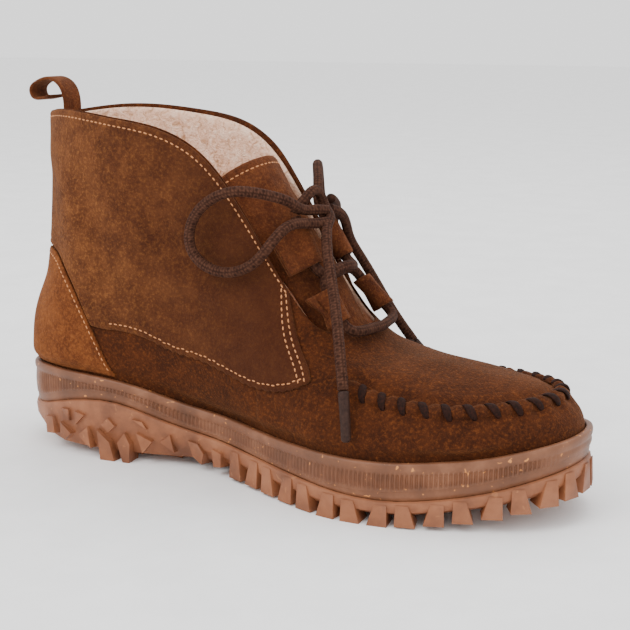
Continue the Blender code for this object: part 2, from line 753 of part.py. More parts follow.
def build_quarter():
    seam = [(0.0, COUNTER_TOP_SHARE)] + places(COUNTER_SEAM[1:4] + QUARTER_EDGE, False)
    columns = signed_columns(seam[-1][0])
    low = seam_share(seam, columns)
    high = np.full(len(columns), COLLAR_SHARE)
    return overlay("quarter_panel", columns, low, high, QUARTER_ROWS, QUARTER_LIFT, SUEDE)


def build_counter():
    seam = [(0.0, COUNTER_TOP_SHARE)] + places(COUNTER_SEAM[1:], False)
    columns = signed_columns(seam[-1][0] - 1.0)
    high = seam_share(seam, columns) - COUNTER_GAP
    low = np.array([lifted_share(a, COUNTER_FOOT_LIFT) for a in columns])
    high = np.maximum(high, low + 0.02)
    return overlay("heel_counter", columns, low, high, COUNTER_ROWS, COUNTER_LIFT, SUEDE)


# Apron seam: a gathered roll along the edge of the plug.
SEAM_HALF_WIDTH = 3.0
SEAM_HEIGHT = 2.4
SEAM_STEPS = 61
GATHER_STEP = 9.0


def seam_line(count):
    """Points, normals and lengths along the apron seam from near to far side."""
    near = places(APRON_SEAM, False)
    tip = upper_place(APRON_TIP[0], APRON_TIP[1], False)
    middle = (ROUND / 2.0, tip[1])
    line = near + [middle] + [(ROUND - a, v) for a, v in near[::-1]]
    keys = np.arange(len(line), dtype=float)
    at = np.linspace(0.0, keys[-1], 4 * count)
    fine = spline_weights(keys, at) @ np.array(line)
    even = smooth_places(fine, count)
    point, normal = upper_point(even[:, 0], even[:, 1])
    reach = np.concatenate([[0.0], np.cumsum(np.linalg.norm(np.diff(point, axis=0), axis=1))])
    return point, normal, reach


def build_apron_seam():
    point, normal, reach = seam_line(SEAM_STEPS)
    along = np.gradient(point, axis=0)
    along /= np.linalg.norm(along, axis=1)[:, None]
    across = np.cross(normal, along)
    gather = 0.5 + 0.5 * np.cos(2.0 * math.pi * reach / GATHER_STEP)
    fade = np.clip(np.minimum(reach, reach[-1] - reach) / 12.0, 0.25, 1.0)
    section = ((-1.0, 0.0), (-0.8, 0.55), (-0.3, 0.95), (0.3, 0.95), (0.8, 0.55), (1.0, 0.0))
    rings = []
    for k in range(SEAM_STEPS):
        half = SEAM_HALF_WIDTH * fade[k]
        high = SEAM_HEIGHT * fade[k] * (0.78 + 0.22 * gather[k])
        base = point[k] + normal[k] * (GAP + 0.25)
        rings.append([base + across[k] * half * a + normal[k] * high * b for a, b in section])
    size = len(section)
    faces = ring_faces(SEAM_STEPS, size)
    faces.append(tuple(range(size)))
    faces.append(tuple(range(SEAM_STEPS * size - 1, SEAM_STEPS * size - size - 1, -1)))
    return solid("apron_seam", np.array(rings).reshape(-1, 3), faces, SUEDE)


# Lacing frame: along the tongue, sideways and out from the tongue.
LACE_ORIGIN = np.array([0.601 * SOLE_LENGTH, 0.0, 0.5125 * LEG_HEIGHT])
LACE_RUN = np.array([-0.105 * SOLE_LENGTH, 0.0, 0.269 * LEG_HEIGHT])
LACE_REACH = float(np.linalg.norm(LACE_RUN))
LACE_UP = LACE_RUN / LACE_REACH
LACE_OUT = np.array([LACE_UP[2], 0.0, -LACE_UP[0]])
LACE_SIDE = np.array([0.0, 1.0, 0.0])


def lacing(up, side, out):
    """A point along the lacing: up as a share of its run, side of the ball width, out in mm."""
    return LACE_ORIGIN + LACE_RUN * up + LACE_SIDE * side * BALL_WIDTH + LACE_OUT * out


TONGUE_ROWS = 11
TONGUE_COLUMNS = 8


def build_tongue():
    line = smooth_line(np.array(TONGUE) * (SOLE_LENGTH, LEG_HEIGHT, BALL_WIDTH), TONGUE_ROWS)
    run = np.gradient(line[:, :2], axis=0)
    run /= np.linalg.norm(run, axis=1)[:, None]
    outer = []
    inner = []
    for row in range(TONGUE_ROWS):
        x, z, half = line[row]
        out = np.array([run[row, 1], 0.0, -run[row, 0]])
        for share in np.linspace(-1.0, 1.0, TONGUE_COLUMNS):
            side = share * half
            drop = TONGUE_CURVE * side * side
            top = 1.0 if row < TONGUE_ROWS - 1 else 1.0 - 0.02 * share * share
            spot = np.array([x, side, z * top]) - out * drop
            edge = 1.0 - 0.35 * share ** 4
            outer.append(spot)
            inner.append(spot - out * TONGUE_THICKNESS * edge)
    faces = sheet_faces(TONGUE_ROWS, TONGUE_COLUMNS)
    return solid("tongue", outer + inner, faces, SUEDE_DARK)


# Lace folds at the four tabs: up, side and out at the foot and at the head.
TAB_FOLDS = (
    ("lace_tab_1", -1.0, (-0.212, 0.2135, 3.9), (0.087, 0.1667, 2.4)),
    ("lace_tab_2", 1.0, (-0.212, 0.2135, 3.9), (0.087, 0.1667, 2.4)),
    ("lace_tab_3", -1.0, (0.318, 0.1458, 1.8), (0.675, 0.1250, 3.4)),
    ("lace_tab_4", 1.0, (0.318, 0.1458, 1.8), (0.675, 0.1250, 3.4)),
)
EYE_RADIUS = LACE_RADIUS + 0.75
TAB_EDGE_OUT = 3.6


def throat_edge(up):
    """Side and out of the throat's near edge at a height along the lacing."""
    arounds = np.linspace(90.0, ROUND / 2.0 - 4.0, 240)
    spots = upper_at(arounds, np.ones(240)) - LACE_ORIGIN
    pick = int(np.argmin(np.abs(spots @ LACE_UP - up * LACE_REACH)))
    return abs(spots[pick, 1]) - 1.0, float(spots[pick] @ LACE_OUT)


def hairpin(centre, tail):
    """Centre line of a folded band round an eye, in the plane across the lacing."""
    centre = np.array(centre)
    back = np.array(tail) - centre
    reach = float(np.linalg.norm(back))
    back /= reach
    left = np.array([-back[1], back[0]])
    bend = EYE_RADIUS + TAB_THICKNESS / 2.0
    apart = TAB_THICKNESS / 2.0 + 0.2
    shape = [(reach, apart), (0.75 * reach, apart), (1.75 * bend, apart + 0.15)]
    shape += [(bend * math.cos(math.radians(a)), bend * math.sin(math.radians(a)))
              for a in (58.0, 95.0, 137.0, 180.0, 223.0, 265.0, 302.0)]
    shape += [(1.75 * bend, -apart - 0.15), (0.75 * reach, -apart), (reach, -apart)]
    points = np.array([centre + back * a + left * b for a, b in shape])
    keys = np.arange(len(points), dtype=float)
    halves = [k + 0.5 for k in range(3, 9)]
    return spline_weights(keys, np.sort(np.append(keys, halves))) @ points


def build_tab(name, side, foot, head):
    """A folded band with an eye for the lace, ruled between its foot and its head."""
    rows = []
    for up, apart, out in (foot, head):
        edge_side, edge_out = throat_edge(up)
        path = hairpin((apart * BALL_WIDTH, out), (edge_side, edge_out + TAB_EDGE_OUT))
        run = np.gradient(path, axis=0)
        run /= np.linalg.norm(run, axis=1)[:, None]
        normal = np.stack([-run[:, 1], run[:, 0]], axis=1)
        outer = path + normal * TAB_THICKNESS / 2.0
        inner = path - normal * TAB_THICKNESS / 2.0
        rows.append([[lacing(up, side * a / BALL_WIDTH, b) for a, b in line]
                     for line in (outer, inner)])
    outer = rows[0][0] + rows[1][0]
    inner = rows[0][1] + rows[1][1]
    return solid(name, outer + inner, sheet_faces(2, len(outer) // 2), SUEDE)


# Pull loop: a folded strap over the back of the collar, as shares of sole length and leg height.
PULL_PATH = (
    (0.064, 0.912), (0.0685, 0.963), (0.069, 1.012), (0.060, 1.053), (0.036, 1.075),
    (0.011, 1.066), (-0.005, 1.041), (0.000, 1.019), (0.016, 1.016), (0.034, 1.022))
PULL_WIDTH = 12.0
PULL_THICKNESS = 1.5


def build_pull_loop():
    path = smooth_line(np.array(PULL_PATH) * (SOLE_LENGTH, LEG_HEIGHT), 24)
    run = np.gradient(path, axis=0)
    run /= np.linalg.norm(run, axis=1)[:, None]
    normal = np.stack([-run[:, 1], run[:, 0]], axis=1)
    outer = []
    inner = []
    for share in (-0.5, 0.0, 0.5):
        for k in range(len(path)):
            for store, away in ((outer, 0.5), (inner, -0.5)):
                x, z = path[k] + normal[k] * PULL_THICKNESS * away
                store.append((x, PULL_WIDTH * share - 1.0, z))
    return solid("pull_loop", outer + inner, sheet_faces(3, len(path)), SUEDE_DARK)


# Lace path through the tabs, near knot to far knot: up, side and out along the lacing.
LACE_PATH = (
    (0.742, -0.1188, 4.0),
    (0.675, -0.1250, 3.4),
    (0.501, -0.1354, 2.6),
    (0.318, -0.1458, 1.8),
    (0.274, -0.1417, 2.0),
    (0.202, 0.0000, 3.0),
    (0.139, 0.1562, 2.4),
    (0.087, 0.1667, 2.4),
    (0.010, 0.1792, 2.8),
    (-0.116, 0.1990, 3.4),
    (-0.212, 0.2135, 3.9),
    (-0.281, 0.2104, 4.8),
    (-0.358, 0.0990, 7.4),
    (-0.374, 0.0000, 8.4),
    (-0.358, -0.0990, 7.4),
    (-0.281, -0.2104, 4.8),
    (-0.212, -0.2135, 3.9),
    (-0.116, -0.1990, 3.4),
    (0.010, -0.1792, 2.8),
    (0.087, -0.1667, 2.4),
    (0.139, -0.1562, 2.6),
    (0.202, 0.0000, 8.4),
    (0.274, 0.1417, 2.4),
    (0.318, 0.1458, 1.8),
    (0.501, 0.1354, 2.6),
    (0.675, 0.1250, 3.4),
    (0.742, 0.1188, 4.0),
)
LACE_STATIONS = 88
LACE_SIDES = 6


def tube(name, path, radius, sides, made):
    """A closed round tube along a path of points."""
    path = np.asarray(path, float)
    run = np.gradient(path, axis=0)
    run /= np.linalg.norm(run, axis=1)[:, None]
    lead = np.cross(run[0], (0.0, 0.0, 1.0))
    lead /= np.linalg.norm(lead)
    points = []
    for k, spot in enumerate(path):
        lead = lead - run[k] * (lead @ run[k])
        lead /= np.linalg.norm(lead)
        side = np.cross(run[k], lead)
        for turn in range(sides):
            angle = 2.0 * math.pi * turn / sides
            points.append(spot + radius * (lead * math.cos(angle) + side * math.sin(angle)))
    faces = ring_faces(len(path), sides)
    faces.append(tuple(range(sides)))
    faces.append(tuple(range(len(path) * sides - 1, (len(path) - 1) * sides - 1, -1)))
    return solid(name, points, faces, made)


def build_crossings():
    path = smooth_line([lacing(*spot) for spot in LACE_PATH], LACE_STATIONS)
    return tube("lace_crossings", path, LACE_RADIUS, LACE_SIDES, CORD)


# Knot and far end: up, side and out along the lacing. Loops and near end: x, y and z.
KNOT_PATH = (
    (0.775, -0.1160, 4.4), (0.803, -0.1080, 6.2), (0.832, -0.0870, 9.2), (0.869, -0.0490, 11.8),
    (0.881, -0.0073, 12.7), (0.846, 0.0323, 11.9), (0.767, 0.0500, 10.3), (0.688, 0.0385, 10.7),
    (0.646, 0.0031, 12.5))
FAR_END_PATH = (
    (0.706, 0.0745, 10.4), (0.668, 0.1240, 10.6), (0.559, 0.2135, 6.6), (0.453, 0.2656, 2.2),
    (0.289, 0.3021, 0.4), (0.010, 0.3229, -0.2), (-0.328, 0.3490, -1.0), (-0.578, 0.3906, -1.6))
FAR_TIP_PATH = (
    (-0.586, 0.3923, -1.6), (-0.742, 0.4281, -1.5), (-0.858, 0.4563, -1.2),
    (-0.964, 0.4833, -0.8))
NEAR_LOOP_PATH = (
    (152.3, -12.4, 119.9), (150.2, -20.0, 123.5), (143.0, -29.0, 127.5), (133.0, -36.5, 129.0),
    (121.0, -38.5, 124.5), (112.5, -39.5, 114.0), (112.5, -39.5, 103.5), (120.0, -39.0, 96.5),
    (131.0, -38.0, 95.0), (141.5, -36.0, 99.5), (148.0, -32.5, 108.0), (151.5, -26.0, 114.0),
    (154.0, -18.5, 115.0))
FAR_LOOP_PATH = (
    (147.3, 11.2, 117.0), (146.2, 11.0, 120.4), (143.9, 14.6, 126.2), (138.5, 24.0, 132.5),
    (134.0, 32.0, 134.5),
    (131.0, 38.5, 131.0), (129.5, 42.5, 123.0), (130.0, 43.5, 114.0), (133.0, 41.0, 107.0),
    (138.5, 35.5, 106.0), (145.0, 29.0, 112.5), (149.5, 20.5, 119.0), (151.5, 12.5, 122.0))
NEAR_END_PATH = (
    (157.8, -0.1, 116.7), (159.6, -2.8, 115.9), (161.0, -7.5, 113.4), (163.5, -13.0, 108.5),
    (166.8, -17.8, 102.0), (170.5, -22.0, 94.5), (176.0, -28.5, 84.5), (182.0, -36.5, 73.5),
    (186.5, -42.5, 63.0), (189.5, -46.0, 53.5))
NEAR_TIP_PATH = ((189.6, -46.1, 53.1), (191.5, -48.4, 46.2), (193.2, -50.6, 39.8), (194.5, -52.4, 34.0))
CORD_STEP = 5.0
TIP_RADIUS = 2.4


def cord(name, points, radius, made):
    """A round cord along a smooth curve read at even steps."""
    points = np.array(points)
    length = float(np.linalg.norm(np.diff(points, axis=0), axis=1).sum())
    count = max(4, int(round(length / CORD_STEP)) + 1)
    path = smooth_line(points, count)
    curve = bpy.data.curves.new(name, "CURVE")
    curve.dimensions = "3D"
    curve.bevel_depth = radius * MM
    curve.bevel_resolution = 2
    curve.use_fill_caps = True
    line = curve.splines.new("POLY")
    line.points.add(count - 1)
    for k, spot in enumerate(path):
        line.points[k].co = (*(float(v) * MM for v in spot), 1.0)
    line.use_smooth = True
    curve.materials.append(made)
    thing = bpy.data.objects.new(name, curve)
    PARTS.objects.link(thing)
    return thing


def build_lace():
    build_crossings()
    knot = [lacing(*spot) for spot in KNOT_PATH]
    far_end = [lacing(*spot) for spot in FAR_END_PATH]
    far_tip = [lacing(*spot) for spot in FAR_TIP_PATH]
    cord("lace_knot", knot, LACE_RADIUS, CORD)
    cord("lace_loop_near", NEAR_LOOP_PATH, LACE_RADIUS, CORD)
    cord("lace_loop_far", FAR_LOOP_PATH, LACE_RADIUS, CORD)
    cord("lace_end_near", NEAR_END_PATH, LACE_RADIUS, CORD)
    cord("lace_tip_near", NEAR_TIP_PATH, TIP_RADIUS, TIP)
    cord("lace_end_far", far_end, LACE_RADIUS, CORD)
    cord("lace_tip_far", far_tip, TIP_RADIUS, TIP)


def set_origin():
    """Moves every mesh so that the origin lies under the middle of the solid pieces."""
    pieces = list(PARTS.objects) + list(CUTTERS.objects)
    spots = [tuple(vert.co) for piece in pieces if piece.type == "MESH" for vert in piece.data.vertices]
    low = np.min(spots, axis=0)
    middle = 0.5 * (low + np.max(spots, axis=0))
    shift = mathutils.Matrix.Translation((-middle[0], -middle[1], -low[2]))
    for piece in pieces:
        piece.data.transform(shift)


build_outsole()
build_midsole()
build_insole()
build_upper()
build_quarter()
build_counter()
build_apron_seam()
build_tongue()
build_pull_loop()
for tab in TAB_FOLDS:
    build_tab(*tab)
build_lace()
for piece in PARTS.objects:
    if piece.type == "MESH":
        face_outwards(piece)
set_origin()
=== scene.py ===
"""Dressed model of a laced moccasin boot, fitted over its frame of solids."""

import math

import bmesh
import bpy
import numpy as np
from mathutils import Matrix, Vector


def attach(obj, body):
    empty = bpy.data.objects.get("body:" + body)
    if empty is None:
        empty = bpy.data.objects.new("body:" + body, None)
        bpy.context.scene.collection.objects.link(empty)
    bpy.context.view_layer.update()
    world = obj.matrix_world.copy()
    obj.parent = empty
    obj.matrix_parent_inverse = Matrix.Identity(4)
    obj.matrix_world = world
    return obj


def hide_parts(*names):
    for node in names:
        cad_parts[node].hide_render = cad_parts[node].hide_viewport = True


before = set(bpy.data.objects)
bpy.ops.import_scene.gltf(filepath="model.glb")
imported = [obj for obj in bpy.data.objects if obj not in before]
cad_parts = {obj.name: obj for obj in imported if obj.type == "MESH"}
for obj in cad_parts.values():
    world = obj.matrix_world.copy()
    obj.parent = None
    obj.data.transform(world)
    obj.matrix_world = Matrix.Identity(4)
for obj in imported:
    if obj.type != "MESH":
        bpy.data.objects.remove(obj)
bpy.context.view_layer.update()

# Sizes in millimetres, measured from the back of the heel, turned into metres in the frame of the solids.
MM = 0.001
FRAME_SHIFT = np.array([-137.445, 2.358, 0.0])
SOLE_LENGTH = 276.0
BALL_WIDTH = 96.0
LEG_HEIGHT = 160.0
SOLE_HEIGHT = 40.0
WALL = 2.4
GAP = 0.3
OVERLAY = 1.4
LACE_RADIUS = 2.25
TAB_THICKNESS = 1.3
RIM_WIDTH = 3.0

# Sole outline: share of the length, half width and sideways shift as shares of the ball width.
OUTLINE = (
    (0.000, 0.000, -0.010), (0.035, 0.245, -0.010), (0.110, 0.349, -0.016), (0.180, 0.363, -0.019),
    (0.290, 0.325, -0.012), (0.400, 0.288, 0.000), (0.510, 0.352, -0.031), (0.600, 0.436, -0.042),
    (0.670, 0.490, -0.036), (0.730, 0.498, -0.021), (0.800, 0.474, 0.000), (0.870, 0.415, 0.023),
    (0.927, 0.342, 0.031), (0.964, 0.262, 0.033), (0.990, 0.150, 0.031), (1.000, 0.000, 0.031),
)

# Sole side: share of the length, then lip, foot of the ribs, wavy edge and ground as shares of its height.
SIDE = (
    (0.000, 0.950, 0.562, 0.487, 0.150), (0.060, 1.000, 0.600, 0.512, 0.075),
    (0.120, 1.000, 0.713, 0.613, 0.000), (0.180, 0.988, 0.787, 0.688, 0.000),
    (0.240, 0.950, 0.775, 0.688, 0.000), (0.300, 0.863, 0.650, 0.575, 0.000),
    (0.360, 0.750, 0.500, 0.463, 0.013), (0.450, 0.688, 0.425, 0.388, 0.037),
    (0.550, 0.662, 0.388, 0.350, 0.025), (0.660, 0.662, 0.350, 0.300, 0.000),
    (0.760, 0.662, 0.350, 0.263, 0.000), (0.830, 0.700, 0.412, 0.312, 0.050),
    (0.890, 0.750, 0.487, 0.388, 0.120), (0.950, 0.838, 0.613, 0.512, 0.215),
    (1.000, 0.912, 0.713, 0.625, 0.300),
)

# Upper: each row is one closed fold line from the sole (share 0) to the topline (share 1).
# Columns: heel back, heel side, ankle, waist, instep, ball, toe side, toe tip.
# X as shares of the sole length, half widths of the ball width, heights of the leg height.
RING_SHARE = (0.0, 0.12, 0.28, 0.46, 0.64, 0.82, 1.0)
RING_X = (
    (0.014, 0.062, 0.188, 0.380, 0.580, 0.743, 0.895, 0.973),
    (0.005, 0.054, 0.185, 0.377, 0.587, 0.746, 0.906, 0.984),
    (0.013, 0.062, 0.188, 0.377, 0.587, 0.739, 0.880, 0.933),
    (0.036, 0.083, 0.199, 0.377, 0.580, 0.717, 0.819, 0.859),
    (0.045, 0.091, 0.210, 0.377, 0.569, 0.685, 0.750, 0.775),
    (0.045, 0.094, 0.217, 0.384, 0.551, 0.638, 0.681, 0.699),
    (0.043, 0.105, 0.239, 0.406, 0.529, 0.598, 0.630, 0.645),
)
RING_WIDTH = (
    (0.000, 0.255, 0.323, 0.250, 0.385, 0.458, 0.339, 0.000),
    (0.000, 0.281, 0.354, 0.297, 0.422, 0.479, 0.365, 0.000),
    (0.000, 0.271, 0.359, 0.333, 0.417, 0.448, 0.323, 0.000),
    (0.000, 0.245, 0.349, 0.344, 0.396, 0.380, 0.240, 0.000),
    (0.000, 0.234, 0.344, 0.339, 0.365, 0.318, 0.193, 0.000),
    (0.000, 0.229, 0.349, 0.328, 0.323, 0.276, 0.167, 0.000),
    (0.000, 0.229, 0.359, 0.318, 0.271, 0.245, 0.151, 0.000),
)
RING_HEIGHT = (
    (0.194, 0.206, 0.212, 0.147, 0.134, 0.134, 0.156, 0.194),
    (0.281, 0.287, 0.281, 0.219, 0.194, 0.194, 0.216, 0.259),
    (0.409, 0.406, 0.381, 0.294, 0.256, 0.256, 0.287, 0.322),
    (0.544, 0.541, 0.494, 0.388, 0.312, 0.303, 0.334, 0.350),
    (0.691, 0.688, 0.637, 0.512, 0.375, 0.353, 0.359, 0.369),
    (0.838, 0.838, 0.800, 0.669, 0.450, 0.391, 0.384, 0.384),
    (0.981, 1.000, 0.991, 0.903, 0.613, 0.463, 0.444, 0.447),
)
STATION_STEP = (26.0, 37.0, 55.0, 54.0, 42.0, 36.0, 30.0)

# Seams in the side view: x as shares of the sole length, z as shares of the leg height.
COUNTER_SEAM = (
    (0.043, 0.594), (0.112, 0.581), (0.159, 0.500), (0.196, 0.394), (0.221, 0.300), (0.236, 0.237))
QUARTER_EDGE = (
    (0.221, 0.388), (0.304, 0.375), (0.355, 0.347), (0.413, 0.334), (0.486, 0.303), (0.551, 0.291),
    (0.620, 0.331))
APRON_SEAM = (
    (0.641, 0.347), (0.674, 0.331), (0.714, 0.309), (0.761, 0.297), (0.819, 0.291), (0.870, 0.294),
    (0.917, 0.300))
APRON_TIP = (0.951, 0.306)

# Tongue centre line from under the plug to its top: shares of sole length, leg height and ball width.
TONGUE = (
    (0.699, 0.356, 0.125), (0.663, 0.381, 0.156), (0.630, 0.438, 0.188), (0.580, 0.569, 0.219),
    (0.525, 0.706, 0.240), (0.460, 0.881, 0.250))
TONGUE_THICKNESS = 3.4
TONGUE_CURVE = 0.024

# Soft folds in the leather: side (-1 outer, 1 inner), both ends in x and z, half width, height.
FOLDS = (
    (-1, 24.0, 128.0, 30.0, 96.0, 8.0, -1.1),
    (-1, 38.0, 126.0, 45.0, 98.0, 8.0, 0.6),
    (-1, 54.0, 120.0, 64.0, 88.0, 9.0, -0.9),
    (-1, 92.0, 108.0, 116.0, 92.0, 7.0, -1.1),
    (-1, 96.0, 92.0, 122.0, 80.0, 6.0, 0.6),
    (-1, 112.0, 78.0, 136.0, 70.0, 4.5, -0.9),
    (-1, 84.0, 78.0, 104.0, 70.0, 7.0, -0.5),
    (-1, 148.0, 44.0, 166.0, 34.0, 5.0, -0.7),
    (-1, 176.0, 42.0, 190.0, 31.0, 6.0, -0.6),
    (-1, 206.0, 38.0, 224.0, 29.0, 7.0, -0.5),
    (-1, 20.0, 78.0, 30.0, 52.0, 8.0, -0.5),
    (-1, 78.0, 52.0, 112.0, 44.0, 8.0, -0.6),
    (1, 26.0, 122.0, 34.0, 92.0, 9.0, -1.0),
    (1, 60.0, 112.0, 70.0, 84.0, 9.0, -0.8),
    (1, 96.0, 104.0, 118.0, 86.0, 7.0, -1.0),
    (1, 108.0, 82.0, 134.0, 70.0, 5.5, -0.8),
    (1, 152.0, 44.0, 168.0, 33.0, 5.0, -0.7),
    (1, 186.0, 42.0, 204.0, 31.0, 7.0, -0.6),
    (1, 80.0, 54.0, 116.0, 42.0, 8.0, -0.6),
)

# Lacing: up as a share of its run, side of the ball width, out in millimetres.
LACE_PATH = (
    (0.742, -0.1188, 4.0), (0.675, -0.1250, 3.4), (0.501, -0.1354, 2.6), (0.318, -0.1458, 1.8),
    (0.274, -0.1417, 2.0), (0.202, 0.0000, 3.0), (0.139, 0.1562, 2.4), (0.087, 0.1667, 2.4),
    (0.010, 0.1792, 2.8), (-0.116, 0.1990, 3.4), (-0.212, 0.2135, 3.9), (-0.281, 0.2104, 4.8),
    (-0.358, 0.0990, 7.4), (-0.374, 0.0000, 8.4), (-0.358, -0.0990, 7.4), (-0.281, -0.2104, 4.8),
    (-0.212, -0.2135, 3.9), (-0.116, -0.1990, 3.4), (0.010, -0.1792, 2.8), (0.087, -0.1667, 2.4),
    (0.139, -0.1562, 2.6), (0.202, 0.0000, 8.4), (0.274, 0.1417, 2.4), (0.318, 0.1458, 1.8),
    (0.501, 0.1354, 2.6), (0.675, 0.1250, 3.4), (0.742, 0.1188, 4.0))
KNOT_PATH = (
    (0.775, -0.1160, 4.4), (0.803, -0.1080, 6.2), (0.832, -0.0870, 9.2), (0.869, -0.0490, 11.8),
    (0.881, -0.0073, 12.7), (0.846, 0.0323, 11.9), (0.767, 0.0500, 10.3), (0.688, 0.0385, 10.7),
    (0.646, 0.0031, 12.5))
FAR_END_PATH = (
    (0.706, 0.0745, 10.4), (0.668, 0.1240, 10.6), (0.559, 0.2135, 6.6), (0.453, 0.2656, 2.2),
    (0.289, 0.3021, 0.4), (0.010, 0.3229, -0.2), (-0.328, 0.3490, -1.0), (-0.578, 0.3906, -1.6))
FAR_TIP_PATH = ((-0.586, 0.3923, -1.6), (-0.742, 0.4281, -1.5), (-0.858, 0.4563, -1.2), (-0.964, 0.4833, -0.8))
# Bow loops and the near end: x, y and z.
NEAR_LOOP_PATH = (
    (158.0, -2.5, 119.0), (155.6, -7.4, 119.6), (152.3, -12.4, 119.9), (150.2, -20.0, 123.5),
    (143.0, -29.0, 127.5), (133.0, -36.5, 129.0),
    (121.0, -38.5, 124.5), (112.5, -39.5, 114.0), (112.5, -39.5, 103.5), (120.0, -39.0, 96.5),
    (131.0, -38.0, 95.0), (141.5, -36.0, 99.5), (148.0, -32.5, 108.0), (151.5, -26.0, 114.0),
    (154.0, -18.5, 115.0), (157.2, -12.0, 114.4), (160.2, -6.4, 114.6))
FAR_LOOP_PATH = (
    (147.3, 11.2, 117.0), (146.2, 11.0, 120.4), (143.9, 14.6, 126.2), (138.5, 24.0, 132.5),
    (134.0, 32.0, 134.5), (131.0, 38.5, 131.0), (129.5, 42.5, 123.0), (130.0, 43.5, 114.0),
    (133.0, 41.0, 107.0), (138.5, 35.5, 106.0), (145.0, 29.0, 112.5), (149.5, 20.5, 119.0),
    (151.5, 12.5, 122.0))
NEAR_END_PATH = (
    (157.8, -0.1, 116.7), (159.6, -2.8, 115.9), (161.0, -7.5, 113.4), (163.5, -13.0, 108.5),
    (166.8, -17.8, 102.0), (170.5, -22.0, 94.5), (176.0, -28.5, 84.5), (182.0, -36.5, 73.5),
    (186.5, -42.5, 63.0), (189.5, -46.0, 53.5))
NEAR_TIP_PATH = ((189.6, -46.1, 53.1), (191.5, -48.4, 46.2), (193.2, -50.6, 39.8), (194.5, -52.4, 34.0))
TIP_RADIUS = 2.4

# Lace folds at the four tabs: side, then up, side and out at the foot and at the head.
TAB_FOLDS = (
    ("near_lower_tab", "lace_tab_1", -1.0, (-0.212, 0.2135, 3.9), (0.087, 0.1667, 2.4)),
    ("far_lower_tab", "lace_tab_2", 1.0, (-0.212, 0.2135, 3.9), (0.087, 0.1667, 2.4)),
    ("near_upper_tab", "lace_tab_3", -1.0, (0.318, 0.1458, 1.8), (0.675, 0.1250, 3.4)),
    ("far_upper_tab", "lace_tab_4", 1.0, (0.318, 0.1458, 1.8), (0.675, 0.1250, 3.4)),
)
TAB_EDGE_OUT = 3.6

# Pull loop: a folded strap over the back of the collar, as shares of sole length and leg height.
PULL_PATH = (
    (0.064, 0.912), (0.0685, 0.963), (0.069, 1.012), (0.060, 1.053), (0.036, 1.075),
    (0.011, 1.066), (-0.005, 1.041), (0.000, 1.019), (0.016, 1.016), (0.034, 1.022))
PULL_WIDTH = 12.0
PULL_THICKNESS = 1.5


# Curves and surfaces.
def spline_weights(knots, at, period=None):
    """Rows of weights that turn values at the knots into values of a smooth curve."""
    knots = np.asarray(knots, float)
    count = len(knots)
    closed = period is not None
    spans = count if closed else count - 1
    ends = np.append(knots, knots[0] + period) if closed else knots
    step = np.diff(ends)
    left = np.zeros((count, count))
    right = np.zeros((count, count))
    for i in range(count):
        if not closed and i in (0, count - 1):
            left[i, i] = 1.0
            continue
        before = step[(i - 1) % spans]
        after = step[i % spans]
        left[i, (i - 1) % count] += before
        left[i, i] += 2.0 * (before + after)
        left[i, (i + 1) % count] += after
        right[i, (i - 1) % count] += 6.0 / before
        right[i, i] -= 6.0 / before + 6.0 / after
        right[i, (i + 1) % count] += 6.0 / after
    bend = np.linalg.solve(left, right)
    value = np.atleast_1d(np.asarray(at, float))
    if closed:
        value = knots[0] + (value - knots[0]) % period
    k = np.clip(np.searchsorted(ends, value, side="right") - 1, 0, spans - 1)
    after = (k + 1) % count
    h = step[k]
    a = (ends[k + 1] - value) / h
    b = 1.0 - a
    rows = np.zeros((len(value), count))
    each = np.arange(len(value))
    rows[each, k] += a
    rows[each, after] += b
    rows += ((a ** 3 - a) * h * h / 6.0)[:, None] * bend[k]
    rows += ((b ** 3 - b) * h * h / 6.0)[:, None] * bend[after]
    return rows


def smooth_column(table, column, at):
    """One column of a table as a smooth function of its first column."""
    keys = [row[0] for row in table]
    values = np.array([row[column] for row in table])
    return spline_weights(keys, np.clip(at, keys[0], keys[-1])) @ values


def smooth_line(points, count):
    """A smooth open line through points, evenly stepped in length."""
    points = np.asarray(points, float)
    reach = np.concatenate([[0.0], np.cumsum(np.linalg.norm(np.diff(points, axis=0), axis=1))])
    fine = spline_weights(reach, np.linspace(0.0, reach[-1], 12 * count)) @ points
    length = np.concatenate([[0.0], np.cumsum(np.linalg.norm(np.diff(fine, axis=0), axis=1))])
    at = np.linspace(0.0, length[-1], count)
    return np.stack([np.interp(at, length, fine[:, k]) for k in range(fine.shape[1])], axis=1)


def line_length(points):
    return float(np.linalg.norm(np.diff(points, axis=0), axis=1).sum())


def directions(points):
    """Unit directions along a line of points."""
    run = np.gradient(points, axis=0)
    return run / np.linalg.norm(run, axis=1)[:, None]


def ease(value):
    """Smooth step from 0 to 1."""
    value = np.clip(value, 0.0, 1.0)
    return value * value * (3.0 - 2.0 * value)


def outline_side(turn):
    """Half width and shift of the outline at an angle from 0 (heel) to pi (toe)."""
    share = 0.5 * (1.0 - np.cos(turn))
    keys = np.arccos(1.0 - 2.0 * np.array([row[0] for row in OUTLINE]))
    widths = np.array([row[1] for row in OUTLINE]) * BALL_WIDTH
    fullness = np.empty(len(keys))
    fullness[1:-1] = widths[1:-1] / np.sin(keys[1:-1])
    fullness[0] = fullness[1] + 0.3 * (fullness[1] - fullness[2])
    fullness[-1] = fullness[-2] + 0.1 * (fullness[-2] - fullness[-3])
    weights = spline_weights(keys, turn)
    half = (weights @ fullness) * np.sin(turn)
    shift = weights @ np.array([row[2] for row in OUTLINE]) * BALL_WIDTH
    return share * SOLE_LENGTH, half, shift


